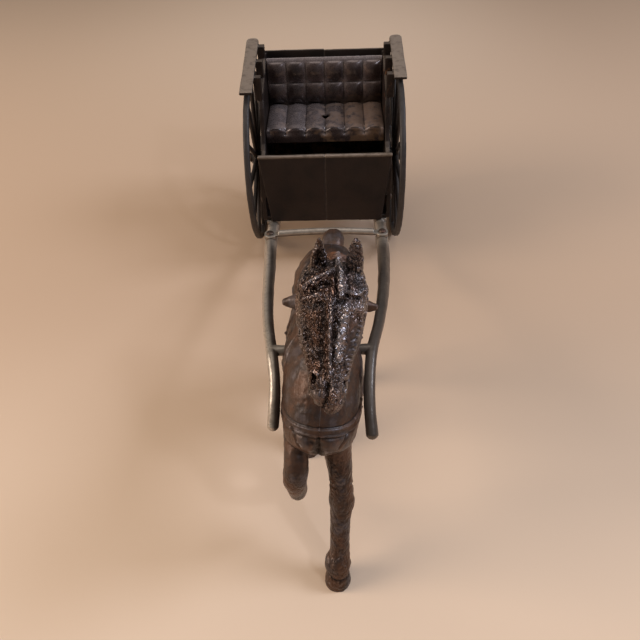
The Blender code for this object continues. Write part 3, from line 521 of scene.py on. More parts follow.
def round_bar(start: Point, end: Point, radius: float, end_radius: float | None = None,
              sides: int = 32) -> bpy.types.Object:
    """Adds a round or tapered bar between two points.

    Args:
        start: the middle of one end.
        end: the middle of the other.
        radius: at the start.
        end_radius: at the end, if it differs.
        sides: corners of a section.

    Returns:
        The closed bar.
    """
    low = Vector(start)
    axis = Vector(end) - low
    clear_bench()
    bpy.ops.mesh.primitive_cone_add(
        vertices=sides, radius1=radius, radius2=radius if end_radius is None else end_radius,
        depth=axis.length, location=low + axis / 2,
        rotation=axis.to_track_quat("Z", "Y").to_euler())
    bar = bpy.context.active_object
    bpy.ops.object.transform_apply(location=True, rotation=True, scale=True)
    return bar


def block(low: Point, high: Point) -> bpy.types.Object:
    """Adds a box between two corners, to be fused into a casting.

    Args:
        low: lowest corner.
        high: highest corner.

    Returns:
        The box.
    """
    clear_bench()
    middle = (Vector(low) + Vector(high)) / 2
    bpy.ops.mesh.primitive_cube_add(size=1, location=middle, scale=Vector(high) - Vector(low))
    made = bpy.context.active_object
    bpy.ops.object.transform_apply(location=True, rotation=True, scale=True)
    return made


def spun(profile: Path2, middle: Point, steps: int, closed: bool) -> bpy.types.Object:
    """Spins a profile of (reach along X, radius) about an axis along X.

    Args:
        profile: the corners, from one end of the axis to the other, or round a ring's section.
        middle: a point on the axis that the reach is measured from.
        steps: sections round the axis.
        closed: whether the profile is a ring's closed section.

    Returns:
        The turned piece.
    """
    clear_bench()
    mesh = bpy.data.meshes.new("profile")
    corners = [(middle[0] + reach, middle[1], middle[2] + radius) for reach, radius in profile]
    edges = [(index, index + 1) for index in range(len(corners) - 1)]
    if closed:
        edges.append((len(corners) - 1, 0))
    mesh.from_pydata(corners, edges, [])
    piece = bpy.data.objects.new("profile", mesh)
    bpy.context.scene.collection.objects.link(piece)
    pick(piece)
    bpy.ops.object.mode_set(mode="EDIT")
    bpy.ops.mesh.select_mode(type="VERT")
    bpy.ops.mesh.select_all(action="SELECT")
    bpy.ops.mesh.spin(steps=steps, angle=math.tau, center=middle, axis=(1, 0, 0))
    bpy.ops.mesh.select_all(action="SELECT")
    bpy.ops.mesh.remove_doubles(threshold=0.00001)
    bpy.ops.mesh.normals_make_consistent(inside=False)
    bpy.ops.object.mode_set(mode="OBJECT")
    return piece


def cut_flat(piece: bpy.types.Object, spot: Point, normal: Point) -> None:
    """Cuts a piece with a plane, drops what the normal points at and closes the cut.

    Args:
        piece: the object.
        spot: a point on the plane.
        normal: the plane's normal, towards what goes.
    """
    pick(piece)
    bpy.ops.object.mode_set(mode="EDIT")
    bpy.ops.mesh.select_all(action="SELECT")
    bpy.ops.mesh.bisect(plane_co=spot, plane_no=normal, use_fill=True, clear_outer=True, threshold=1e-7)
    bpy.ops.object.mode_set(mode="OBJECT")
    apply_modifier(piece, "TRIANGULATE", min_vertices=5)


def bored(piece: bpy.types.Object, start: Point, end: Point, radius: float) -> None:
    """Takes a round hole out of a piece.

    Args:
        piece: the object.
        start: the middle of one end of the hole.
        end: the middle of the other.
        radius: of the hole.
    """
    drill = round_bar(start, end, radius, sides=40)
    apply_modifier(piece, "BOOLEAN", operation="DIFFERENCE", object=drill, solver="EXACT")
    bpy.data.objects.remove(drill, do_unlink=True)


def fused(parts: Sequence[bpy.types.Object], grain: float, passes: int) -> bpy.types.Object:
    """Fuses overlapping parts into one casting with softened edges.

    Args:
        parts: closed parts that overlap.
        grain: size of the new mesh's squares.
        passes: how often the surface is smoothed.

    Returns:
        The first part, which now is the whole casting.
    """
    whole = parts[0]
    pick(*parts)
    if len(parts) > 1:
        bpy.ops.object.join()
    whole.data.remesh_voxel_size = grain
    bpy.ops.object.voxel_remesh()
    apply_modifier(whole, "SMOOTH", factor=0.5, iterations=passes)
    return whole


def copied_node(frame: dict, node: str) -> bpy.types.Object:
    """Copies a CAD node's mesh into a new object and merges its loose triangles.

    Args:
        node: the node's name.

    Returns:
        The new object.
    """
    copy = bpy.data.objects.new(node + "_cast", frame["nodes"][node].data.copy())
    bpy.context.scene.collection.objects.link(copy)
    pick(copy)
    bpy.ops.object.mode_set(mode="EDIT")
    bpy.ops.mesh.select_all(action="SELECT")
    bpy.ops.mesh.remove_doubles(threshold=0.000005)
    bpy.ops.mesh.normals_make_consistent(inside=False)
    bpy.ops.object.mode_set(mode="OBJECT")
    return copy


def fade(values: np.ndarray, start: float, end: float) -> np.ndarray:
    """Runs smoothly from 0 at start to 1 at end.

    Args:
        values: the numbers to judge.
        start: where the result is 0.
        end: where the result is 1.

    Returns:
        A share for each number.
    """
    share = np.clip((values - start) / (end - start), 0, 1)
    return share * share * (3 - 2 * share)


class Surface:
    """The skin of one dense casting, worked with strokes as a pattern maker works wood.

    Every move is kept in millimetres, so that the finish can rub crests and darken hollows.
    """

    def __init__(self, piece: bpy.types.Object) -> None:
        """Reads the casting's points and normals."""
        self.piece = piece
        self.points = coordinates(piece.data)
        self.relief = np.zeros(len(self.points))
        kept = piece.data.attributes.get("relief")
        if kept is not None:
            flat = np.empty(len(self.points), dtype=np.float32)
            kept.data.foreach_get("value", flat)
            self.relief = flat.astype(float)
        self.normals = np.zeros_like(self.points)
        self.refresh()

    def refresh(self) -> None:
        """Writes the points to the mesh and reads the new normals."""
        set_coordinates(self.piece.data, self.points)
        flat = np.empty(len(self.points) * 3, dtype=np.float32)
        self.piece.data.vertex_normals.foreach_get("vector", flat)
        self.normals = flat.reshape(-1, 3).astype(float)

    def swell(self, share: np.ndarray, height: float) -> None:
        """Moves the skin along its normals.

        Args:
            share: how much each point moves, 0 to 1.
            height: the move for a share of one, in metres, negative for inwards.
        """
        self.points += self.normals * (share * height)[:, None]
        self.relief += share * height / MM

    def distance(self, flat: np.ndarray, path: Path2) -> np.ndarray:
        """Measures from points in a plane to a broken line.

        Args:
            flat: rows of two coordinates.
            path: the line's corners.

        Returns:
            The distance of each point.
        """
        corners = np.array(path, dtype=float)
        if len(corners) == 1:
            return np.linalg.norm(flat - corners[0], axis=1)
        nearest = np.full(len(flat), np.inf)
        for start, end in zip(corners, corners[1:]):
            run = end - start
            share = np.clip(((flat - start) @ run) / max(run @ run, 1e-12), 0, 1)
            gap = np.linalg.norm(flat - (start + share[:, None] * run), axis=1)
            nearest = np.minimum(nearest, gap)
        return nearest

    def stroke(self, flat: np.ndarray, path: Path2, width: float, height: float,
               keep: np.ndarray | float = 1.0, steps: int = 4) -> None:
        """Raises or sinks a soft line.

        Args:
            flat: the points' two coordinates in the view that the line is drawn in.
            path: the line's corners in that view.
            width: from the line's middle to where it fades out.
            height: how high it stands, negative for a groove.
            keep: share of the stroke that each point takes.
            steps: how finely the line is rounded between its corners.
        """
        line = smooth_rows(path, steps) if len(path) > 2 else path
        share = 1 - fade(self.distance(flat, line), 0, width)
        self.swell(share * keep, height)

    def carve(self, flat: np.ndarray, marks: Iterable[Mark], keep: np.ndarray | float = 1.0) -> None:
        """Raises or sinks several soft lines that are given in millimetres.

        Args:
            flat: the points' two coordinates in the view that the lines are drawn in.
            marks: corners, reach and height of each line.
            keep: share of the strokes that each point takes.
        """
        for path, width, height in marks:
            self.stroke(flat, np.array(path) * MM, width * MM, height * MM, keep)

    def view(self, view: View) -> np.ndarray:
        """Returns the points' two coordinates in a view."""
        return self.points[:, list(view.value)]

    def grain(self, size: float, height: float, seed: float, keep: np.ndarray | float = 1.0) -> None:
        """Makes the skin uneven, as a sand mould leaves it.

        Args:
            size: of the unevenness.
            height: how far it moves the skin.
            seed: shifts the pattern.
            keep: share of it that each point takes.
        """
        offset = Vector((seed, -seed, 2 * seed))
        wave = np.array([noise.noise(Vector(point) / size + offset) for point in self.points])
        moved = wave * keep * height
        self.points += self.normals * moved[:, None]

    def crumple(self, spots: np.ndarray, size: float, height: float, seed: float,
                keep: np.ndarray | float = 1.0) -> None:
        """Makes the skin crumpled, with sharp hollows between rounded lumps.

        Args:
            spots: the coordinates that the pattern is read at.
            size: of the lumps.
            height: how far they stand.
            seed: shifts the pattern.
            keep: share of it that each point takes.
        """
        offset = Vector((seed, -seed, 2 * seed))
        fold = np.array([abs(noise.noise(Vector(spot) / size + offset)) for spot in spots])
        self.swell((np.minimum(fold * 3.0, 1.0) - 0.55) * keep, height)

    def paint(self, name: str, share: np.ndarray) -> None:
        """Keeps a value of each point as an attribute that the finish reads.

        Args:
            name: of the attribute.
            share: the value of each point.
        """
        held = self.piece.data.attributes
        layer = held.get(name) or held.new(name, "FLOAT", "POINT")
        layer.data.foreach_set("value", share.astype(np.float32))

    def finish(self) -> None:
        """Writes the points and the relief to the mesh."""
        self.refresh()
        self.paint("relief", self.relief)


def set_in_place(piece: bpy.types.Object, name: str, node: str, body: str,
                 finish: bpy.types.Material) -> None:
    """Names a finished piece, dresses it and puts it on the frame for its CAD node.

    Args:
        piece: the object.
        name: its new name.
        node: the CAD node that it stands for.
        body: the body that it rides.
        finish: its material.
    """
    pick(piece)
    bpy.ops.object.transform_apply(location=True, rotation=True, scale=True)
    bpy.ops.object.shade_smooth()
    piece.name = name
    piece.data.name = name
    piece.data.materials.clear()
    piece.data.materials.append(finish)
    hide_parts(node)
    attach(piece, body)
    LOG.info("%s: %d faces on %s", name, len(piece.data.polygons), body)


# ---------------------------------------------------------------------------------------------
# The cart
# ---------------------------------------------------------------------------------------------


@dataclass
class CartBody:
    """The two halves of the cart body, each from its own mould."""

    grain: float = 0.00044
    half_width: float = 0.0334
    dash_top: float = 0.0634
    axle_y: float = 0.09003

    def build(self, frame: dict, finish: bpy.types.Material) -> None:
        """Casts and dresses both halves.

        Args:
            finish: the worn black finish.
        """
        for side in Side:
            node = "body_" + side.label
            piece = fused([copied_node(frame, node)], self.grain, 3)
            skin = Surface(piece)
            self.work(skin, side)
            set_in_place(piece, node + "_iron", node, "cart", finish)

    def work(self, skin: Surface, side: Side) -> None:
        """Adds the dash's rolled lip, the seam and the mould's unevenness.

        Args:
            skin: the half's surface.
            side: which half it is.
        """
        near = np.abs(skin.points[:, 0]) < 2 * SEAM
        skin.swell(1 - fade(np.abs(skin.points[:, 0]), 0.0002, 0.0009), -0.00012)
        skin.refresh()
        forward = fade(-skin.points[:, 1], -(self.axle_y - 0.0300), -(self.axle_y - 0.0330))
        lip = fade(skin.points[:, 2], self.dash_top - 0.0016, self.dash_top - 0.0006) * forward
        skin.swell(lip, 0.00025)
        skin.refresh()
        # One half was riveted on a little higher than the other
        board = fade(skin.points[:, 2], 0.084, 0.090) * fade(skin.points[:, 1], 0.110, 0.115)
        skin.points[:, 2] += board * (0.0001 - side.value * 0.0002)
        skin.grain(0.011, 0.00022, 3.0)
        skin.refresh()
        skin.grain(0.0026, 0.00005, 7.0)
        # The two halves touch along the middle
        skin.points[near, 0] = 0
        skin.finish()
        points = skin.points
        # Up-facing tops of the fenders and upper edges are painted lighter, partly as worn metal and partly
        # as painted top light; the dash's top rim is painted lighter too
        up = fade(skin.normals[:, 2], 0.55, 0.9)
        fender = fade(np.abs(points[:, 0]), 0.0340, 0.0348) * fade(points[:, 2], 0.078, 0.084)
        edge = fade(points[:, 2], 0.054, 0.056) * (1 - fender)
        rim = fade(points[:, 2], self.dash_top - 0.0010, self.dash_top - 0.0003) * forward
        skin.paint("bare", np.clip(up * fender * 0.95 + up * edge * 0.3 + rim * 0.55, 0, 1))
        # Damp has stood on the floor under the seat
        low = (1 - fade(points[:, 2], 0.034, 0.056)) * fade(points[:, 1], 0.057, 0.062)
        # and under the fender on the left
        posts = fade(points[:, 0], 0.0300, 0.0312) * fade(points[:, 2], 0.064, 0.070) * (1 - fender)
        skin.paint("stain", np.clip(low + posts * 0.55, 0, 1))


@dataclass
class Seat:
    """The fluted seat and buttoned backrest."""

    grain: float = 0.00036
    half_width: float = 0.0309
    front: float = 0.09003 - 0.0102
    back: float = 0.09003 + 0.0200
    top: float = 0.0668
    thickness: float = 0.0085
    crown: float = 0.0016
    back_top: float = 0.0905
    lean: float = 0.0030
    back_thickness: float = 0.0026
    tuft: float = 0.0013
    columns: int = 6
    rows: int = 2
    peg: Point = (0.0, 0.09003 + 0.0045, 0.0668)
    peg_radius: float = 0.0017

    def build(self, finish: bpy.types.Material) -> None:
        """Casts and dresses the seat.

        Args:
            finish: the rubbed brown finish.
        """
        pan = block((-self.half_width, self.front, self.top - self.thickness),
                    (self.half_width, self.back, self.top - self.crown))
        low = self.top - self.thickness + 0.0012
        rise = math.hypot(self.back_top - low, self.lean)
        thin = self.back_thickness - self.tuft
        backrest = block((-self.half_width, 0, 0), (self.half_width, rise, thin))
        tilt = math.atan2(self.back_top - low, self.lean)
        backrest.data.transform(Matrix.Translation((0, self.back, low)) @ Matrix.Rotation(tilt, 4, "X"))
        piece = fused([pan, backrest], self.grain, 2)
        bored(piece, (self.peg[0], self.peg[1], self.peg[2] - 0.02),
              (self.peg[0], self.peg[1], self.peg[2] + 0.01), self.peg_radius)
        skin = Surface(piece)
        self.flute(skin)
        self.notch(skin)
        self.tuft_back(skin, low, tilt, rise)
        skin.refresh()
        skin.grain(0.0045, 0.00010, 5.0)
        skin.refresh()
        skin.grain(0.0016, 0.00004, 9.0)
        # The peg's hole is worn wide
        skin.carve(skin.view(View.TOP), [([(self.peg[0] / MM + 0.7, self.peg[1] / MM + 0.6)], 3.4, -0.9)],
                   (skin.points[:, 2] > self.top - 0.004) * (skin.points[:, 1] < self.back - 0.001))
        skin.finish()
        points = skin.points
        left = fade(points[:, 0], -0.016, 0.022)
        low = 1 - fade(points[:, 2], self.top + 0.002, self.top + 0.006)
        skin.paint("stain", low * (0.25 + 0.60 * left))
        rim = fade(points[:, 2], self.back_top - 0.0014, self.back_top - 0.0004)
        # Painted highlights along the creases between the backrest's tufts
        lines = fade(-skin.relief, 0.24, 0.05) * fade(points[:, 2], self.top + 0.0050, self.top + 0.0070)
        lines = lines * fade(-skin.normals[:, 1], 0.2, 0.6)
        # The top of the pan is painted lighter, partly as worn metal and partly as painted top light
        pan = fade(skin.normals[:, 2], 0.5, 0.9) * (points[:, 1] < self.back - 0.001) * low
        # Painted highlights on the crease ends where the pleats hang over the front edge
        edge = 1 - fade(np.hypot(points[:, 1] - self.front, points[:, 2] - self.top + 0.0022), 0.0012, 0.0034)
        pleat_highlight = (1 - self.across(points)) * edge
        bare = rim * 0.45 + lines * 0.35 + pan * (0.48 - 0.22 * left) + pleat_highlight * 0.5
        skin.paint("bare", np.clip(bare, 0, 1))
        set_in_place(piece, "seat_iron", "seat", "cart", finish)

    def across(self, points: np.ndarray) -> np.ndarray:
        """Returns how full each point's flute is across the seat, 0 on a crease and 1 between."""
        place = (points[:, 0] / (2 * self.half_width) + 0.5) * self.columns
        return np.abs(np.sin(math.pi * place)) ** 0.75

    def flute(self, skin: Surface) -> None:
        """Fills the flutes of the pan and rolls them over its front edge.

        Args:
            skin: the seat's surface.
        """
        points = skin.points
        full = self.across(points)
        up = fade(skin.normals[:, 2], 0.3, 0.8) * (points[:, 1] < self.back - 0.0005)
        up = up * (points[:, 2] < self.top)
        skin.points[:, 2] += up * full * self.crown
        skin.relief += up * (full - 0.5) * 0.4
        skin.refresh()

    def notch(self, skin: Surface) -> None:
        """Runs each crease on over the front edge as a notch that catches the light.

        Args:
            skin: the seat's surface.
        """
        points = skin.points
        crease = (1 - self.across(points)) ** 1.2
        inside = 1 - fade(np.abs(points[:, 0]), self.half_width - 0.0022, self.half_width - 0.0008)
        ahead = points[:, 1] - self.front
        below = self.top - self.crown - points[:, 2]
        near = 1 - fade(np.hypot(np.maximum(ahead, 0), np.maximum(below, 0)), 0.0004, 0.0042)
        moved = near * (0.25 + crease * inside) * 0.0016
        skin.points += moved[:, None] * np.array([0, 0.62, -0.78])
        skin.refresh()

    def tuft_back(self, skin: Surface, low: float, tilt: float, rise: float) -> None:
        """Fills the tufts of the backrest above the pan.

        Args:
            skin: the seat's surface.
            low: height of the backrest's foot.
            tilt: angle of the backrest from the floor.
            rise: its length.
        """
        points = skin.points
        along = ((points[:, 1] - self.back) * math.cos(tilt) + (points[:, 2] - low) * math.sin(tilt))
        face = np.array([0.0, -math.sin(tilt), math.cos(tilt)])
        front = fade(skin.normals @ face, 0.3, 0.8) * (points[:, 2] > self.top - 0.0008)
        start = self.top - low
        rim = rise - 0.0019
        share = np.clip((along - start) / (rim - start), 0, 1) * self.rows
        full = self.across(points) * np.abs(np.sin(math.pi * share)) ** 0.6
        skin.points += face * (front * full * self.tuft * 1.8)[:, None]
        # The tufts are painted darker as painted shade, and the creases between them get painted highlights
        # later
        skin.relief -= front * full * 0.42
        # The top rolls back, and the foot of the backrest is painted dark as painted shade in its corner
        roll = fade(along, rim, rise) * (skin.normals @ face > -0.3)
        skin.points -= face * (roll * 0.0007)[:, None]
        skin.relief -= front * (1 - fade(along, start, start + 0.0050)) * 0.8


@dataclass
class Wheel:
    """One cast wheel of twelve tapered spokes."""

    grain: float = 0.00034
    radius: float = 0.045
    rim_width: float = 0.0030
    rim_depth: float = 0.0034
    spokes: int = 12
    phase: float = math.radians(-7)
    spoke_hub: float = 0.00135
    spoke_rim: float = 0.00105
    hub_radius: float = 0.0055
    barrel: float = 0.0034
    hub_length: float = 0.0066
    flange: float = 0.0012
    inner: float = 0.0334 + 0.0008 + 0.0003
    offset: float = 0.0004
    bore: float = 0.0016 + 0.0004
    axle: Point = (0.0, 0.09003, 0.045)

    def build(self, side: Side, finish: bpy.types.Material) -> None:
        """Casts and dresses the wheel of one side.

        Args:
            side: which wheel.
            finish: the blue-black finish.
        """
        middle = (side.value * (self.inner + self.hub_length / 2 + self.offset), *self.axle[1:])
        half = self.rim_width / 2
        low = self.radius - self.rim_depth
        edge = 0.0006
        rim = spun([(-half + edge, low), (half - edge, low), (half, low + edge), (half, self.radius - edge),
                    (half - edge, self.radius), (-half + edge, self.radius), (-half, self.radius - edge),
                    (-half, low + edge)], middle, 120, True)
        back = side.value * (self.inner + self.hub_length / 2 - middle[0] * side.value)
        reach = self.hub_length / 2
        hub = spun([(back - reach, self.bore), (back - reach, self.barrel),
                    (-self.flange - 0.0005, self.barrel), (-self.flange, self.hub_radius),
                    (self.flange, self.hub_radius), (self.flange + 0.0005, self.barrel),
                    (back + reach, self.barrel), (back + reach, self.bore)], middle, 48, True)
        spokes = []
        start = self.hub_radius - 0.0014
        end = self.radius - self.rim_depth / 2
        for index in range(self.spokes):
            turn = Matrix.Rotation(self.phase + math.tau * index / self.spokes, 3, "X")
            out = turn @ Vector((0, -1, 0))
            foot = Vector(middle) + out * start
            tip = Vector(middle) + out * end
            spokes.append(round_bar(foot, tip, self.spoke_hub, self.spoke_rim, sides=16))
            spokes.append(round_bar(foot, foot + out * 0.0042, self.spoke_hub + 0.0004,
                                    self.spoke_hub - 0.0002, sides=16))
            spokes.append(round_bar(tip - out * 0.0036, tip, self.spoke_rim - 0.0002,
                                    self.spoke_rim + 0.0004, sides=16))
        piece = fused([rim, hub, *spokes], self.grain, 3)
        skin = Surface(piece)
        skin.grain(0.006, 0.00012, 11.0 + side.value)
        skin.refresh()
        skin.grain(0.0018, 0.00004, 13.0 + side.value)
        skin.finish()
        away = np.hypot(skin.points[:, 1] - self.axle[1], skin.points[:, 2] - self.axle[2])
        skin.paint("bare", fade(away, self.radius - 0.0012, self.radius - 0.0002) * 0.2)
        node = "wheel_" + side.label
        set_in_place(piece, node + "_iron", node, side.label + "_wheel", finish)


@dataclass
class Shafts:
    """The two curved shafts and the arched bar between them."""

    grain: float = 0.00034
    axle_y: float = 0.09003
    radius: float = 0.0031
    tip_radius: float = 0.0019
    sway: float = 0.0009
    lead: tuple[float, float] = (0.0028, -0.0008)
    tang_spread: float = 0.0284
    tang_width: float = 0.0064
    tang_back: float = -0.0080
    floor_bottom: float = 0.0278
    floor_lit: float = -0.0365
    bar_spread: float = 0.0277
    bar_foot: float = 0.0300
    bar_y: float = -0.0610
    bar_radius: float = 0.0017
    bar_rise: float = 0.0014
    eye_radius: float = 0.0031
    eye_thickness: float = 0.0022
    pivot_spread: float = 0.0165
    pivot_y: float = -0.1770
    pivot_height: float = 0.0710
    tip_length: float = 0.0225
    tip_drop: float = 0.0115
    lug_radius: float = 0.0016
    lug_reach: float = 0.0078

    @property
    def bar_seat(self) -> float:
        """Height of the flat on a shaft that carries the bar's eye."""
        return self.bar_foot + self.radius + 0.0004

    def line(self, side: Side) -> list[Station]:
        """Lays out the middle line of a shaft.

        Args:
            side: which shaft.

        Returns:
            (x, y, z, half width, half depth) of its sections.
        """
        sway = side.value * self.sway
        reach = self.tip_length + self.lead[0 if side is Side.LEFT else 1]
        foot = self.floor_bottom - SEAM - self.radius
        bend = self.floor_lit - 0.0035

        def mix(start: float, end: float, share: float) -> float:
            """Returns a value part of the way from one to another."""
            return start + (end - start) * share

        rows = [(self.tang_spread, bend + 0.004, foot, self.radius),
                (self.tang_spread, bend, foot, self.radius),
                (mix(self.tang_spread, self.bar_spread, 0.4), mix(bend, self.bar_y, 0.45),
                 mix(foot, self.bar_foot, 0.42), self.radius),
                (self.bar_spread, self.bar_y, self.bar_foot, self.radius)]
        for across, ahead, up in ((0.06, 0.10, 0.15), (0.23, 0.31, 0.415), (0.395, 0.52, 0.64),
                                  (0.57, 0.715, 0.825), (0.78, 0.88, 0.946), (1.0, 1.0, 1.0)):
            rows.append((mix(self.bar_spread, self.pivot_spread, across) + sway * math.sin(math.pi * ahead),
                         mix(self.bar_y, self.pivot_y, ahead), mix(self.bar_foot, self.pivot_height, up),
                         mix(self.radius, self.tip_radius, min(1.0, ahead * 1.1))))
        for inward, ahead, down in ((0.0014, 0.47, 0.24), (0.0015, 0.78, 0.59), (0.0010, 1.0, 1.0)):
            rows.append((self.pivot_spread - inward, self.pivot_y - reach * ahead,
                         self.pivot_height - self.tip_drop * down, self.tip_radius))
        return [(side.value * x, self.axle_y + y, z, radius, radius) for x, y, z, radius in rows]

    def build(self, finish: bpy.types.Material) -> None:
        """Casts and dresses both shafts and the bar.

        Args:
            finish: the handled grey finish.
        """
        for side in Side:
            self.build_shaft(side, finish)
        self.build_bar(finish)

    def build_shaft(self, side: Side, finish: bpy.types.Material) -> None:
        """Casts one shaft with its tang, its pad for the bar and its lug.

        Args:
            side: which shaft.
            finish: the handled grey finish.
        """
        rows = self.line(side)
        tail = Vector(rows[-1][:3])
        out = (tail - Vector(rows[-2][:3])).normalized()
        nose = self.tip_radius
        for reach, share in ((0.45, 0.89), (0.8, 0.6), (0.98, 0.2)):
            spot = tail + out * nose * reach
            rows.append((*spot, nose * share, nose * share))
        rod = drawn_out(rows, 24, 6)
        x = side.value * self.tang_spread
        top = self.floor_bottom - SEAM
        tang = block((x - self.tang_width / 2, self.axle_y + self.floor_lit - 0.001, top - 2 * self.radius),
                     (x + self.tang_width / 2, self.axle_y + self.tang_back, top))
        pad_x = side.value * self.bar_spread
        bar_y = self.axle_y + self.bar_y
        pad = round_bar((pad_x, bar_y, self.bar_foot), (pad_x, bar_y, self.bar_seat), self.eye_radius)
        pivot_y = self.axle_y + self.pivot_y
        lug = round_bar((side.value * self.pivot_spread, pivot_y, self.pivot_height),
                        (side.value * self.lug_reach, pivot_y, self.pivot_height),
                        self.lug_radius + 0.0003, self.lug_radius)
        piece = fused([rod, tang, pad, lug], self.grain, 3)
        cut = self.eye_radius + SEAM
        self.flatten(piece, pad_x, bar_y, cut)
        skin = Surface(piece)
        skin.grain(0.009, 0.00018, 17.0 + side.value)
        skin.refresh()
        skin.grain(0.0020, 0.00004, 19.0 + side.value)
        skin.finish()
        # The outer side of the toy's right shaft is painted lighter as a painted highlight, the left shaft
        # only a little; the part behind the bar is lighter too
        ahead = fade(-skin.points[:, 1], -(self.axle_y + self.bar_y), -(self.axle_y + self.pivot_y))
        outward = fade(skin.normals[:, 0] * -1, -0.4, 0.3)
        behind = fade(skin.points[:, 1], bar_y - 0.032, bar_y - 0.008)
        handled_and_lit = 1.0 if side is Side.RIGHT else 0.12
        skin.paint("bare", np.maximum(outward * handled_and_lit + ahead * 0.05, behind * 0.6))
        node = "shaft_" + side.label
        set_in_place(piece, node + "_iron", node, "cart", finish)

    def flatten(self, piece: bpy.types.Object, x: float, y: float, reach: float) -> None:
        """Files the top of a shaft flat where the bar's eye lies on it.

        Args:
            piece: the shaft.
            x: place of the eye.
            y: place of the eye.
            reach: half the length of the flat.
        """
        points = coordinates(piece.data)
        near = (np.abs(points[:, 0] - x) < 0.006) & (np.abs(points[:, 1] - y) < reach)
        points[near, 2] = np.minimum(points[near, 2], self.bar_seat)
        set_coordinates(piece.data, points)

    def build_bar(self, finish: bpy.types.Material) -> None:
        """Casts the arched bar with a flat eye at each end.

        Args:
            finish: the handled grey finish.
        """
        base = self.bar_seat + SEAM
        y = self.axle_y + self.bar_y
        middle = base + self.eye_thickness / 2 + 0.0006
        rows = []
        for index in range(13):
            share = 2 * index / 12 - 1
            rows.append((share * self.bar_spread, y, middle + self.bar_rise * (1 - share * share),
                         self.bar_radius, self.bar_radius))
        rod = drawn_out([(z, yy, x, a, b) for x, yy, z, a, b in rows], 20, 3)
        turn = Matrix(((0, 0, 1, 0), (0, 1, 0, 0), (1, 0, 0, 0), (0, 0, 0, 1)))
        rod.data.transform(turn)
        rod.data.flip_normals()
        eyes = [round_bar((side.value * self.bar_spread, y, base),
                          (side.value * self.bar_spread, y, base + self.eye_thickness), self.eye_radius)
                for side in Side]
        piece = fused([rod, *eyes], 0.00030, 2)
        points = coordinates(piece.data)
        ends = np.abs(points[:, 0]) > self.bar_spread - 0.004
        points[ends, 2] = np.clip(points[ends, 2], base, base + self.eye_thickness)
        points[:, 2] = np.maximum(points[:, 2], base)
        limit = self.bar_spread + self.eye_radius * 0.9
        points[:, 0] = np.clip(points[:, 0], -limit, limit)
        set_coordinates(piece.data, points)
        skin = Surface(piece)
        skin.grain(0.004, 0.00006, 23.0)
        skin.finish()
        # The bar's upper side is painted lighter as painted top light
        skin.paint("bare", fade(skin.normals[:, 2], -0.4, 0.3) * 0.75)
        set_in_place(piece, "cross_bar_iron", "cross_bar", "cart", finish)


class Rods:
    """The axle, tie rods and rivets, each hammered over at both ends."""

    def build(self, frame: dict, finish: bpy.types.Material) -> None:
        """Makes every rod that the frame has.

        Args:
            finish: the peened finish.
        """
        for node in frame["nodes"]:
            if "rivet" in node or node.startswith("tie_rod") or node == "axle":
                self.rod(frame, node, finish)

    def rod(self, frame: dict, node: str, finish: bpy.types.Material) -> None:
        """Makes one rod in the place of its CAD node, with a smooth hammered dome at each end.

        Args:
            node: the CAD node.
            finish: the peened finish.
        """
        piece = copied_node(frame, node)
        body = "horse" if node.startswith("horse") else "cart"
        apply_modifier(piece, "BEVEL", width=0.00018, segments=3, limit_method="ANGLE",
                       angle_limit=math.radians(25))
        apply_modifier(piece, "REMESH", mode="VOXEL", voxel_size=0.00022)
        apply_modifier(piece, "SMOOTH", factor=0.5, iterations=4)
        skin = Surface(piece)
        skin.grain(0.0012, 0.00010, float(len(node)))
        skin.finish()
        set_in_place(piece, node + "_peened", node, body, finish)


# ---------------------------------------------------------------------------------------------
# The horse
# ---------------------------------------------------------------------------------------------


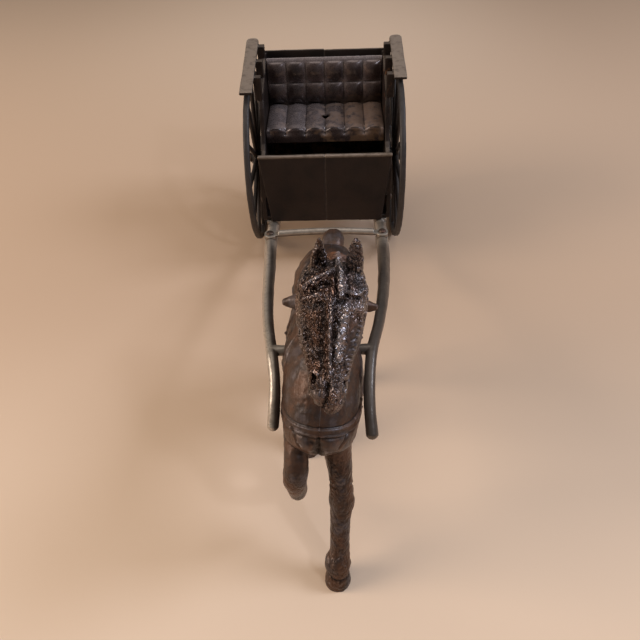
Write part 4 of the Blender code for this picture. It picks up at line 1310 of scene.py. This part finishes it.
# Strokes on the face in millimetres: (across from its middle, along from the poll), reach, height.
# It isn't even: the forelock falls to the horse's left and the right brow is sharper.
FACE: tuple[Mark, ...] = (
    # Right brow, the hollow under it and the lower lid
    (((-7.6, 12.4), (-6.8, 11.2), (-4.4, 9.8), (-1.8, 8.3), (0.1, 6.9)), 0.9, 1.15),
    (((-5.6, 12.6), (-3.2, 11.4), (-1.2, 10.8)), 1.6, -1.3),
    (((-7.8, 15.1), (-6.2, 14.8), (-3.3, 14.1)), 0.8, 0.6),
    (((-7.0, 13.3), (-4.4, 12.8)), 0.7, -0.5),
    (((-5.4, 17.2), (-2.6, 16.6)), 1.2, -0.35),
    # Forelock with its groove and its round end
    (((0.5, -1.0), (0.7, 2.8), (1.7, 8.4), (2.0, 12.4)), 1.3, 1.0),
    (((2.1, 13.6),), 1.6, 0.95),
    (((0.3, 6.0), (0.5, 9.0), (0.8, 12.0), (1.1, 15.4)), 0.7, -0.75),
    (((1.0, 15.9), (2.2, 16.2), (3.3, 15.2)), 0.6, -0.6),
    (((3.1, 4.0), (3.6, 9.0), (3.6, 12.4)), 0.6, -0.45),
    # Left brow and lid, one curve
    (((2.9, 11.6), (3.8, 12.9), (5.4, 13.3), (6.8, 12.7), (7.8, 11.4)), 0.8, 0.75),
    (((3.4, 13.9), (5.4, 14.6), (7.4, 13.6)), 0.6, -0.6),
    (((4.2, 9.8), (6.4, 9.4)), 1.5, -0.45),
    (((3.4, 17.6), (6.8, 16.2)), 2.6, 0.5),
    # Nasal bones: a thin one and a broad one, parted by a furrow
    (((-0.3, 17.0), (-0.3, 23.1), (0.2, 30.0), (0.4, 34.7)), 0.8, 0.7),
    (((3.6, 17.5), (2.8, 23.5), (2.1, 28.0), (2.5, 30.8)), 1.7, 0.85),
    (((1.0, 16.0), (0.9, 24.0), (1.0, 32.0)), 0.6, -0.35),
    (((-2.4, 17.0), (-2.4, 26.0), (-2.0, 33.0)), 1.7, -0.6),
    # Nostrils: small pits under a soft rim
    (((-4.1, 35.2), (-4.3, 36.0)), 1.3, -1.8),
    (((-5.6, 35.0), (-4.4, 33.6), (-2.8, 34.4)), 0.8, 0.45),
    (((4.6, 36.0), (4.9, 36.6)), 0.9, -0.9),
    (((3.3, 35.6), (4.4, 34.3), (5.6, 35.0)), 0.8, 0.4),
)
EAR_PLACE = {Side.LEFT: 0.0069, Side.RIGHT: -0.0025}
# Share of the ear's length, half width and half thickness
EARS = {Side.LEFT: ((0, .0025, .0022), (.35, .0024, .0018), (.68, .0019, .0013),
                    (.9, .0013, .0009), (1, .0007, .0006)),
        Side.RIGHT: ((0, .0025, .0022), (.35, .0023, .0018), (.70, .0014, .0012),
                     (.9, .0007, .0007), (1, .0003, .0003))}


@dataclass
class Horse:
    """The trotting horse, cast in two halves with its harness on it.

    It is worked in its own frame: x from its middle, y behind its lugs and z above the floor.
    """

    grain: float = 0.00038
    axle_y: float = 0.09003
    pivot_y: float = -0.1770
    pivot_height: float = 0.0710
    shift: float = 0.0010
    lean: float = math.radians(3.5)
    turn: float = math.radians(2.5)
    toe_reach: float = 0.04806
    hoof_spread: float = 0.0091
    hole_radius: float = 0.0031
    shoulder: float = 0.0126
    seam: float = 0.00002
    rivet_head: float = 0.0026
    rivet_half: float = 0.0104
    rivets: tuple[tuple[float, float], ...] = ((-0.0130, 0.0560), (0.0420, 0.0720))
    peg_y: float = 0.0142
    peg_height: float = 0.0783
    head_top: float = 0.1165
    ear_length: float = 0.0130
    face_middle: float = 0.0018
    poll: tuple[float, float] = (-0.0060, 0.1160)
    muzzle: tuple[float, float] = (-0.0402, 0.0890)

    barrel: tuple[Station, ...] = (
        (0, .0550, .0715, .0030, .0035), (0, .0520, .0700, .0080, .0092), (0, .0445, .0672, .0115, .0130),
        (0, .0345, .0692, .0126, .0150), (-.0002, .0230, .0685, .0118, .0145),
        (-.0008, .0110, .0665, .0122, .0162), (-.0007, -.0010, .0660, .0130, .0178),
        (-.0003, -.0110, .0640, .0127, .0185), (0, -.0190, .0590, .0122, .0165),
        (0, -.0230, .0535, .0100, .0125), (0, -.0250, .0505, .0030, .0045))
    neck: tuple[Station, ...] = (
        (0, .0010, .0690, .0090, .0150), (.0004, -.0040, .0850, .0082, .0140),
        (.0010, -.0075, .0985, .0073, .0110), (.0015, -.0100, .1085, .0066, .0085),
        (.0017, -.0122, .1122, .0045, .0055))
    head: tuple[Station, ...] = (
        (.0017, -.0060, .1132, .0046, .0034), (.0016, -.0106, .1108, .0084, .0066),
        (.0015, -.0175, .1070, .0093, .0090), (.0016, -.0250, .1010, .0079, .0078),
        (.0018, -.0320, .0954, .0056, .0060), (.0018, -.0366, .0917, .0050, .0056),
        (.0015, -.0384, .0903, .0041, .0046), (.0004, -.0396, .0893, .0022, .0026))
    tail: tuple[Station, ...] = (
        (.0004, .0420, .0752, .0034, .0030), (.0004, .0500, .0782, .0040, .0034),
        (.0004, .0568, .0746, .0042, .0036),
        (0, .0600, .0640, .0046, .0038), (0, .0595, .0510, .0044, .0036), (0, .0580, .0390, .0030, .0026),
        (0, .0575, .0330, .0012, .0012))
    foreleg_up: tuple[Station, ...] = (
        (-.0066, -.0080, .0620, .0048, .0080), (-.0072, -.0190, .0545, .0046, .0066),
        (-.0070, -.0275, .0495, .0040, .0048), (-.0070, -.0310, .0450, .0040, .0042),
        (-.0070, -.0305, .0382, .0030, .0034), (-.0068, -.0278, .0318, .0026, .0030),
        (-.0066, -.0255, .0275, .0029, .0034), (-.0065, -.0232, .0243, .0026, .0032),
        (-.0064, -.0205, .0205, .0030, .0040))
    hindleg_forward: tuple[Station, ...] = (
        (-.0065, .0400, .0710, .0058, .0110), (-.0080, .0340, .0560, .0054, .0100),
        (-.0080, .0330, .0450, .0042, .0068), (-.0078, .0350, .0350, .0036, .0052),
        (-.0070, .0290, .0260, .0032, .0036), (-.0060, .0215, .0150, .0032, .0034),
        (-.0055, .0170, .0090, .0040, .0040), (-.0050, .0140, .0050, .0037, .0040),
        (-.0050, .0125, .0020, .0043, .0048), (-.0050, .0120, -.0010, .0045, .0050))
    hindleg_back: tuple[Station, ...] = (
        (.0065, .0400, .0710, .0058, .0110), (.0080, .0400, .0560, .0054, .0100),
        (.0080, .0460, .0450, .0042, .0068), (.0078, .0530, .0360, .0036, .0052),
        (.0078, .0535, .0270, .0032, .0036), (.0080, .0525, .0150, .0032, .0034),
        (.0082, .0510, .0085, .0040, .0040), (.0084, .0495, .0050, .0037, .0040),
        (.0084, .0485, .0020, .0043, .0048), (.0084, .0480, -.0010, .0045, .0050))

    @property
    def foreleg_down(self) -> tuple[Station, ...]:
        """The straight foreleg, whose toe reaches furthest forward."""
        spread = self.hoof_spread
        toe = -self.toe_reach
        return ((.0058, -.0080, .0620, .0050, .0080), (.0056, -.0165, .0480, .0050, .0068),
                (.0076, -.0240, .0370, .0041, .0050), (.0086, -.0290, .0290, .0041, .0046),
                (.0086, -.0330, .0220, .0035, .0036), (spread, -.0380, .0120, .0035, .0036),
                (.0087, -.0405, .0080, .0046, .0044), (spread, .0058 + toe, .0050, .0038, .0042),
                (spread, .0052 + toe, .0020, .0044, .0048), (spread, .0050 + toe, -.0010, .0045, .0050))

    @property
    def place(self) -> Matrix:
        """Carries the horse's own frame to its place between the shafts."""
        pivot = Matrix.Translation((self.shift, self.axle_y + self.pivot_y, self.pivot_height))
        turned = pivot @ Euler((0, self.lean, -self.turn)).to_matrix().to_4x4()
        return turned @ Matrix.Translation((0, 0, -self.pivot_height))

    def ear(self, side: Side) -> bpy.types.Object:
        """Draws out one ear: the left one is a broad blade, the right one a narrow point.

        Args:
            side: which ear.

        Returns:
            The ear.
        """
        base = self.head_top - 0.0035
        rows = []
        for share, wide, thick in EARS[side]:
            rows.append((EAR_PLACE[side], -0.0115 - 0.0030 * share, base + self.ear_length * share,
                         wide, thick))
        return drawn_out(rows, 16, 3)

    def rough_casting(self) -> bpy.types.Object:
        """Draws out the trunk, neck, head, limbs, tail, ears and pegs and fuses them.

        Returns:
            The whole horse in its own frame, still without detail.
        """
        parts = [drawn_out(self.barrel, 72, 6), drawn_out(self.neck, 56, 6), drawn_out(self.head, 56, 6)]
        for limb in (self.foreleg_down, self.foreleg_up, self.hindleg_forward, self.hindleg_back, self.tail):
            parts.append(drawn_out(limb, 36, 6))
        parts += [self.ear(side) for side in Side]
        for side in (1, -1):
            parts.append(round_bar((side * 0.0095, self.peg_y, self.peg_height),
                                   (side * 0.0156 + 0.0008, self.peg_y, self.peg_height), 0.0025, 0.0006))
        return fused(parts, self.grain, 4)

    def face_frame(self, points: np.ndarray) -> tuple[np.ndarray, np.ndarray, np.ndarray]:
        """Measures along the head from poll to muzzle and up from its middle line to the face.

        Args:
            points: rows of x, y and z.

        Returns:
            The length along, the height and the face's normal.
        """
        poll = np.array(self.poll)
        run = np.array(self.muzzle) - poll
        run /= np.linalg.norm(run)
        normal = np.array([run[1], -run[0]])
        rest = points[:, 1:] - poll
        return rest @ run, rest @ normal, np.array([0.0, *normal])

    def on_head(self, points: np.ndarray) -> np.ndarray:
        """Returns how far each point belongs to the head, from the poll to the lips.

        Args:
            points: rows of x, y and z.

        Returns:
            A share for each point.
        """
        along, height, _ = self.face_frame(points)
        return (fade(along, -0.004, 0.002) * (1 - fade(along, 0.047, 0.050)) * fade(height, -0.0125, -0.0085)
                * fade(-points[:, 1], 0.004, 0.010))

    def work_face(self, skin: Surface) -> None:
        """Models forelock, brows, eyes, nasal bones, nostrils and lips.

        Args:
            skin: the horse's surface.
        """
        along, height, normal = self.face_frame(skin.points)
        across = skin.points[:, 0] - self.face_middle
        flat = np.column_stack((across, along))
        side = np.column_stack((along, height))
        head = self.on_head(skin.points)
        face = fade(skin.normals @ normal, 0.05, 0.45) * head
        skin.carve(flat, FACE, face)
        for sign in (1, -1):
            flank = fade(sign * skin.normals[:, 0], 0.25, 0.6) * head
            # Eyeball with its lids, cheek crest, jaw and the line of the mouth, on the side of the head
            ring = [(10.2 + 2.4 * math.cos(a), 2.4 + 1.6 * math.sin(a)) for a in np.linspace(0, math.tau, 13)]
            skin.carve(side, [([(10.2, 2.4)], 2.4, 0.9), (ring, 0.7, 0.35),
                              ([(13, -1.2), (20, -1.4), (27, -0.8)], 1.6, 0.6),
                              ([(13.5, -5.2)], 5.5, 1.0), ([(35, -2.6), (43, -1.0)], 0.8, -0.7)], flank)
        # Lips: a groove down the middle parts them, with a thin lip line on each side
        skin.carve(flat, [([(0.1, 36.7), (-0.3, 40.5), (-1.2, 44)], 0.7, -0.6), ([(-2.5, 40.2)], 2.3, 0.5),
                          ([(2.3, 38.8)], 2.5, 0.6)], head)
        # Corded cheek strap of the bridle
        for sign in (1, -1):
            flank = fade(sign * skin.normals[:, 0], 0.0, 0.3) * head
            twist = 0.5 + 0.5 * np.sin(along / (1.2 * MM) * math.tau + across / (0.7 * MM))
            skin.carve(flat, [([(sign * 7.7, 17.0), (sign * 7.3, 21.5), (sign * 6.6, 25.0),
                                (sign * 5.2, 30.7),
                                (sign * 4.8, 33.5)], 1.0, 0.6)], flank * twist)
        # Cupped ears with thin edges
        front = skin.view(View.FRONT)
        for one in Side:
            x = EAR_PLACE[one]
            ears = fade(skin.points[:, 2], self.head_top - 0.001, self.head_top + 0.002)
            ahead = fade(-skin.normals[:, 1], 0.1, 0.6) * ears * (np.abs(skin.points[:, 0] - x) < 0.004)
            low = (self.head_top - 0.0005) / MM
            deep = -0.2 if one is Side.LEFT else -0.9
            skin.carve(front, [([(x / MM, low), (x / MM, low + 5.5)], 1.5, deep)], ahead)

    def work_harness(self, skin: Surface) -> None:
        """Raises the collar, breast strap, girth, saddle, trace and crupper.

        Args:
            skin: the horse's surface.
        """
        mm = MM
        side = skin.view(View.SIDE)
        trunk = 1 - fade(skin.points[:, 2], 0.096, 0.100)
        # Collar: a thick roll with a groove on either side
        collar = [(4.0 * mm, 89.0 * mm), (-4.5 * mm, 78.0 * mm), (-13.0 * mm, 66.0 * mm),
                  (-20.0 * mm, 55.0 * mm)]
        skin.stroke(side, collar, 2.4 * mm, 0.30 * mm, trunk)
        skin.stroke(side, [(y + 2.0 * mm, z + 1.6 * mm) for y, z in collar], 0.9 * mm, -0.50 * mm, trunk)
        skin.stroke(side, [(y - 2.2 * mm, z - 1.4 * mm) for y, z in collar], 0.9 * mm, -0.20 * mm, trunk)
        # Breast strap, a shallow band between two thin raised edges
        strap = [(12.0, 65.0), (-4.0, 63.4), (-12.0, 63.0), (-20.0, 63.8), (-25.0, 65.2), (-29.0, 66.8),
                 (-32.0, 68.4), (-34.5, 69.6)]
        skin.carve(side, [(strap, 1.7, 0.25)], trunk)
        skin.carve(side, [([(y, z + shift) for y, z in strap], 0.55, 0.42) for shift in (-1.1, 1.1)], trunk)
        skin.carve(side, [([(y, z + shift) for y, z in strap], 0.6, -0.30) for shift in (-1.9, 1.9)], trunk)
        # Two lobes of the chest, parted by the seam, with a dent on the right one; a crease to each leg
        ahead = fade(-skin.normals[:, 1], 0.0, 0.4) * trunk
        skin.carve(skin.view(View.FRONT), [
            ([(-4.7, 64.0)], 4.4, 0.7), ([(4.8, 64.0)], 4.4, 0.6), ([(-0.2, 59.0), (-0.2, 64.2)], 3.0, -1.2),
            ([(-0.2, 58.0), (-0.2, 67.2)], 0.9, -0.5), ([(-2.4, 65.4)], 1.3, -0.7),
            ([(-8.2, 66.0), (-6.8, 64.0), (-5.5, 62.0)], 0.9, -0.6),
            ([(6.2, 62.2), (8.6, 65.0)], 0.9, -0.5)], ahead)
        skin.carve(side, [([(11.4, 70.8), (8.5, 65.2)], 0.8, -0.5)], trunk * (skin.points[:, 0] < 0))
        # Trace from the collar back to the rump, girth, saddle pad and crupper
        low = 1 - fade(skin.points[:, 2], 0.088, 0.090)
        skin.stroke(side, [(12.0 * mm, 66.0 * mm), (28.0 * mm, 64.0 * mm), (42.0 * mm, 64.0 * mm)], 1.2 * mm,
                    0.45 * mm, low)
        girth = np.abs(skin.points[:, 1] - self.peg_y)
        body = fade(skin.points[:, 2], 0.040, 0.046)
        skin.swell((1 - fade(girth, 2.6 * mm, 3.2 * mm)) * body, 0.45 * mm)
        for shift in (-2.4, 2.4):
            line = np.abs(skin.points[:, 1] - self.peg_y - shift * mm)
            skin.swell((1 - fade(line, 0.2 * mm, 0.7 * mm)) * body, 0.18 * mm)
        pad = (1 - fade(girth, 4.6 * mm, 5.6 * mm)) * fade(skin.points[:, 2], 0.0790, 0.0810)
        skin.swell(pad * fade(skin.normals[:, 2], 0.1, 0.5), 0.6 * mm)
        back = fade(skin.normals[:, 2], 0.3, 0.7) * fade(skin.points[:, 1], 0.016, 0.020)
        skin.stroke(skin.view(View.TOP), [(0, 18.0 * mm), (0, 36.0 * mm)], 1.5 * mm, 0.35 * mm, back)

    def work_coat(self, skin: Surface) -> None:
        """Models mane, tail hair, muscles, joints and hoofs.

        Args:
            skin: the horse's surface.
        """
        mm = MM
        side = skin.view(View.SIDE)
        neck = fade(skin.points[:, 2], 0.083, 0.088) * fade(skin.points[:, 1], -0.012, -0.007)
        for index in range(11):
            z = (115 - index * 3.0) * mm
            y = (0.5 + index * 0.85 - 5.0) * mm
            skin.stroke(side, [(y + 2.5 * mm, z), (y - 1.0 * mm, z - 4.0 * mm), (y - 2.0 * mm, z - 9.5 * mm)],
                        0.9 * mm, 0.45 * mm, neck)
        rear = fade(skin.points[:, 1], 0.0535, 0.0555)
        for index in range(7):
            angle = index / 6 * math.pi
            x = math.cos(angle) * 3.6 * mm
            strand = [(x * 0.6, 79 * mm), (x, 64 * mm), (x * 0.95, 50 * mm), (x * 0.5, 34 * mm)]
            skin.stroke(skin.view(View.FRONT), strand, 0.55 * mm, -0.40 * mm, rear)
        for offset in (-1.8, 0.0, 1.8):
            strand = [((57 + offset) * mm, 76 * mm), ((60 + offset) * mm, 62 * mm),
                      ((59.5 + offset) * mm, 48 * mm),
                      ((57.5 + offset * 0.4) * mm, 34 * mm)]
            skin.stroke(side, strand, 0.55 * mm, -0.40 * mm, rear)
        # Shoulder, elbow, flank and thigh
        trunk = fade(np.abs(skin.normals[:, 0]), 0.2, 0.6)
        skin.stroke(side, [(-9 * mm, 62 * mm), (-4 * mm, 72 * mm)], 6.5 * mm, 0.6 * mm, trunk)
        shoulder = [(2.5 * mm, 76 * mm), (3.5 * mm, 64 * mm), (-1.0 * mm, 53 * mm)]
        skin.stroke(side, shoulder, 1.8 * mm, -0.55 * mm, trunk)
        thigh = [(33 * mm, 82 * mm), (28 * mm, 70 * mm), (31 * mm, 58 * mm)]
        skin.stroke(side, thigh, 2.2 * mm, -0.6 * mm, trunk)
        skin.stroke(side, [(40 * mm, 70 * mm), (38 * mm, 60 * mm)], 7.0 * mm, 0.7 * mm, trunk)
        # Knees and hocks
        for y, z in ((-29, 29), (-33.5, 42.5), (34.5, 36.5), (53, 35.5)):
            skin.stroke(side, [(y * mm, z * mm)], 3.4 * mm, 0.35 * mm)
            band = [((y - 3) * mm, (z - 2.6) * mm), ((y + 3) * mm, (z - 2.6) * mm)]
            skin.stroke(side, band, 0.9 * mm, -0.15 * mm)
        # A groove behind each cannon bone, where the tendon stands off
        for path in (((-26.5, 27), (-31, 18), (-36.5, 11)), ((-27.5, 36.5), (-24, 31.5)),
                     ((31.0, 26.5), (25, 17), (20.5, 11.5)), ((55.5, 28), (54.6, 18), (53.2, 11.5))):
            skin.stroke(side, [(y * mm, z * mm) for y, z in path], 0.8 * mm, -0.35 * mm, trunk)
        # Coronets: the hair ends in a small step above each hoof
        standing = (skin.points[:, 2] < 0.012)
        skin.swell((1 - fade(np.abs(skin.points[:, 2] - 0.0058), 0.1 * mm, 0.8 * mm)) * standing, -0.45 * mm)
        skin.stroke(side, [(-23.2 * mm, 22.6 * mm), (-17.0 * mm, 27.2 * mm)], 0.8 * mm, -0.45 * mm,
                    (skin.points[:, 0] < 0) * (skin.points[:, 1] > -0.026))

    def roughen(self, skin: Surface) -> None:
        """Gives one half the mould's skin, which is as coarse as crumpled foil on the head.

        Args:
            skin: the half's surface, in the horse's own frame.
        """
        points = skin.points
        off = fade(np.abs(points[:, 0]), 0.0001, 0.0006)
        along, height, normal = self.face_frame(points)
        face = fade(skin.normals @ normal, -0.35, 0.15) * self.on_head(points)
        face = np.maximum(face, fade(points[:, 2], self.head_top - 0.001, self.head_top + 0.001))
        top = fade(points[:, 2], 0.109, 0.113) * (1 - fade(along, 0.002, 0.006))
        top = top * (1 - fade(np.abs(points[:, 0] - 0.0025), 0.0020, 0.0045))
        skin.grain(0.0050, 0.00020, 29.0, (1 - face) * off)
        skin.refresh()
        skin.grain(0.0022, 0.00014, 30.0, (1 - face) * off)
        skin.refresh()
        # Drawn out down the nose
        spots = np.column_stack((points[:, 0], along * 0.6, height))
        skin.crumple(spots, 0.0019, 0.00032, 31.0, face * off)
        skin.refresh()
        skin.grain(0.0012, 0.00008, 33.0, (1 - face) * off)
        # The pegs are darkened through a negative relief
        skin.relief -= fade(np.abs(points[:, 0]), 0.0128, 0.0136) * fade(points[:, 2], 0.0745, 0.0755) * 0.6
        skin.finish()
        # The raised forms of the face are painted lighter as rubbed metal, and more on the horse's left half
        # as a painted highlight; the left cheek is smooth and brown
        across = points[:, 0] - self.face_middle
        flat = np.column_stack((across, along))
        rubbed_and_lit = np.zeros(len(points))
        for path, reach, rise in FACE:
            if rise > 0.3:
                near = 1 - fade(skin.distance(flat, np.array(path) * MM), 0, reach * MM)
                rubbed_and_lit = np.maximum(rubbed_and_lit, near * rise)
        left = fade(across, -0.0005, 0.0030)
        cheek = fade(across, 0.0038, 0.0052) * fade(along, 0.019, 0.021) * (1 - fade(along, 0.031, 0.034))
        lobe = 1 - fade(np.hypot(across + 0.0026, along - 0.0405), 0.0014, 0.0026)
        legs = 1 - fade(points[:, 2], 0.040, 0.052)
        coarse = np.maximum(face * (1 - 0.75 * cheek) * (1 - 0.6 * lobe), 0.05 + 0.33 * legs)
        skin.paint("pitted", coarse)
        skin.paint("stain", np.clip(top, 0, 1) + cheek * 0.25)
        skin.paint("bare", face * (0.04 + 0.16 * left + rubbed_and_lit * (0.30 + 0.35 * left)) * (1 - 0.6 * cheek))

    def take_back(self, whole: bpy.types.Object) -> None:
        """Moves the bored casting back to its rough points, and keeps the worked ones.

        The rough casting is the one that is cut, because its outline at the seam never crosses itself.

        Args:
            whole: the worked casting, with its rough points as an attribute.
        """
        points = coordinates(whole.data)
        moves = read_vectors(whole.data, "rough") - points
        # Nothing was worked further than this, so these points are new, on the edges of the holes
        new = np.linalg.norm(moves, axis=1) > 0.003
        for index in np.flatnonzero(new):
            near = ((points[~new] - points[index]) ** 2).sum(axis=1).argmin()
            moves[index] = moves[~new][near]
        write_vectors(whole.data, "worked", points)
        set_coordinates(whole.data, points + moves)

    def settle(self, half: bpy.types.Object, side: Side) -> None:
        """Moves a half from the rough casting's points to the worked ones, with its cut face kept flat.

        Args:
            half: the half casting.
            side: which half it is.
        """
        points = read_vectors(half.data, "worked")
        out = np.maximum(side.value * points[:, 0], self.seam)
        out[np.abs(coordinates(half.data)[:, 0]) < 1.5 * self.seam] = self.seam
        points[:, 0] = side.value * out
        set_coordinates(half.data, points)

    def build(self, finish: bpy.types.Material) -> None:
        """Casts the horse, works it, splits it and dresses both halves.

        Args:
            finish: the waxed brown finish.
        """
        whole = self.rough_casting()
        skin = Surface(whole)
        rough = skin.points.copy()
        self.work_coat(skin)
        skin.refresh()
        self.work_harness(skin)
        skin.refresh()
        self.work_face(skin)
        skin.refresh()
        # The two halves meet on a rounded edge, which is worn open under the chest
        low = 1 - fade(skin.points[:, 2], 0.052, 0.060)
        shut = 1 - 0.8 * self.on_head(skin.points)
        # The right shoulder is filed flat to pass its shaft when the horse rocks
        beside = fade(-skin.points[:, 1], 0.001, 0.006) * fade(skin.points[:, 2], 0.045, 0.052)
        over = np.minimum(skin.points[:, 0] + self.shoulder, 0) * beside
        skin.points[:, 0] -= over * (skin.points[:, 2] < 0.082)
        edge = 1 - fade(np.abs(skin.points[:, 0]), 0.0001, 0.0011)
        skin.swell(edge * (0.25 + 0.75 * low) * shut, -0.00055)
        skin.finish()
        write_vectors(whole.data, "rough", rough)
        bored(whole, (-0.03, 0, self.pivot_height), (0.03, 0, self.pivot_height), self.hole_radius)
        for side in Side:
            for y, z in self.rivets:
                bored(whole, (side.value * (self.rivet_half - 0.0004), y, z), (side.value * 0.03, y, z),
                      self.rivet_head)
        self.take_back(whole)
        for side in Side:
            half = whole.copy()
            half.data = whole.data.copy()
            bpy.context.scene.collection.objects.link(half)
            cut_flat(half, (side.value * self.seam, 0, 0), (-side.value, 0, 0))
            self.settle(half, side)
            self.roughen(Surface(half))
            half.data.transform(self.place)
            cut_flat(half, (0, 0, 0), (0, 0, -1))
            node = "horse_" + side.label
            set_in_place(half, node + "_iron", node, "horse", finish)
        bpy.data.objects.remove(whole, do_unlink=True)


# ---------------------------------------------------------------------------------------------
# Floor, light and camera
# ---------------------------------------------------------------------------------------------


@dataclass
class Studio:
    """A plain pale floor, soft light and the photograph's viewpoint."""

    floor_colour: str = "#d4b498"
    floor_lit: str = "#f6d8bc"
    focal: float = 650.0
    pitch: float = 0.745
    yaw: float = 0.041
    roll: float = -0.044
    eye: Point = (0.0060, -0.3265, 0.2223)
    axle_y: float = 0.09003

    def build(self) -> None:
        """Sets up floor, light and camera."""
        self.lay_floor()
        self.set_lamps()
        self.set_camera()

    def lay_floor(self) -> None:
        """Lays a wide sheet of pale board under the toy."""
        clear_bench()
        bpy.ops.mesh.primitive_plane_add(size=6, location=(0, 0, 0))
        floor = bpy.context.active_object
        floor.name = "floor"
        board = bpy.data.materials.new("matt pale board")
        board.use_nodes = True
        tree = board.node_tree
        shader = tree.nodes["Principled BSDF"]
        shader.inputs["Roughness"].default_value = 0.9
        place = add_node(tree, "ShaderNodeTexCoord").outputs["Object"]
        # Painted pools of light: the board is painted paler in front of the toy and straight behind it, less
        # so to its sides
        parts = add_node(tree, "ShaderNodeSeparateXYZ", links={0: place}).outputs
        depth, across = parts["Y"], parts["X"]
        aside = maths(tree, "ADD", ramp(tree, across, 0.02, 0.26, 0.0, 1.0),
                      ramp(tree, across, -0.04, -0.30, 0.0, 0.6))
        behind = maths(tree, "MULTIPLY", ramp(tree, depth, 0.08, 0.45, 0.0, 0.9),
                       maths(tree, "SUBTRACT", 1.0, aside))
        pale = maths(tree, "ADD", ramp(tree, depth, 0.04, -0.16), behind)
        tree.links.new(tint(tree, pale, self.floor_colour, self.floor_lit), shader.inputs["Base Color"])
        fibre = add_node(tree, "ShaderNodeTexNoise", values={"Scale": 500, "Detail": 3},
                         links={"Vector": place})
        lift = add_node(tree, "ShaderNodeBump", values={"Strength": 0.3, "Distance": 0.0001},
                        links={"Height": fibre.outputs["Fac"]})
        tree.links.new(lift.outputs["Normal"], shader.inputs["Normal"])
        floor.data.materials.append(board)

    def lamp(self, name: str, spot: Point, aim: Point, size: float, power: float, colour: str) -> None:
        """Hangs one square soft lamp.

        Args:
            name: of the lamp.
            spot: where it hangs.
            aim: what it faces.
            size: of its side.
            power: in watts.
            colour: hex colour of its light.
        """
        data = bpy.data.lights.new(name, "AREA")
        data.shape = "SQUARE"
        data.size = size
        data.energy = power
        data.color = linear(colour)[:3]
        lamp = bpy.data.objects.new(name, data)
        lamp.location = spot
        lamp.rotation_euler = (Vector(aim) - Vector(spot)).to_track_quat("-Z", "Y").to_euler()
        bpy.context.scene.collection.objects.link(lamp)

    def set_lamps(self) -> None:
        """Hangs a warm lamp on the toy's right, a cool window on its left and a broad one overhead."""
        self.lamp("lamp", (-0.75, -0.10, 0.42), (0, -0.05, 0.05), 0.40, 4.0, "#fff0e0")
        self.lamp("window", (0.65, 0.05, 0.62), (0, 0, 0.06), 0.30, 3.4, "#e2ecff")
        self.lamp("overhead", (0, 0.0, 0.90), (0, -0.10, 0), 0.70, 1.6, "#fff7ee")
        self.lamp("left spark", (0.40, -0.42, 0.60), (0, -0.06, 0.09), 0.06, 0.60, "#e6eeff")
        self.lamp("right spark", (-0.42, -0.22, 0.42), (0, -0.10, 0.09), 0.06, 0.08, "#fff0e0")
        world = bpy.data.worlds.new("room")
        world.use_nodes = True
        world.node_tree.nodes["Background"].inputs["Color"].default_value = linear("#e6e2dd")
        world.node_tree.nodes["Background"].inputs["Strength"].default_value = 0.16
        bpy.context.scene.world = world

    def set_camera(self) -> None:
        """Puts the camera where the photograph was taken from."""
        data = bpy.data.cameras.new("camera")
        data.sensor_width = 36
        data.sensor_fit = "HORIZONTAL"
        data.lens = 36 * self.focal / 640
        data.clip_start = 0.01
        data.clip_end = 20
        camera = bpy.data.objects.new("camera", data)
        bpy.context.scene.collection.objects.link(camera)
        c, s = math.cos(self.yaw), math.sin(self.yaw)
        cp, sp = math.cos(self.pitch), math.sin(self.pitch)
        right = Vector((c, s, 0))
        ahead = Vector((-s * cp, c * cp, -sp))
        upward = Vector((-s * sp, c * sp, cp))
        cr, sr = math.cos(self.roll), math.sin(self.roll)
        x = right * cr + upward * sr
        y = upward * cr - right * sr
        turn = Matrix((x, y, -ahead)).transposed().to_4x4()
        spot = Vector(self.eye) + Vector((0, self.axle_y, 0))
        camera.matrix_world = Matrix.Translation(spot) @ turn
        bpy.context.scene.camera = camera


def main() -> None:
    """Builds every sub-assembly in order and reports each piece."""
    logging.basicConfig(level=logging.INFO, format="%(message)s")
    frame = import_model()
    scene = bpy.context.scene
    scene.view_settings.view_transform = "Standard"
    CartBody().build(frame, BODY_IRON.make())
    Seat().build(SEAT_IRON.make())
    wheel_finish = WHEEL_IRON.make()
    for side in Side:
        Wheel().build(side, wheel_finish)
    Shafts().build(SHAFT_IRON.make())
    Rods().build(frame, ROD_IRON.make())
    Horse().build(HORSE_IRON.make())
    Studio().build()


if __name__ == "__main__":
    main()
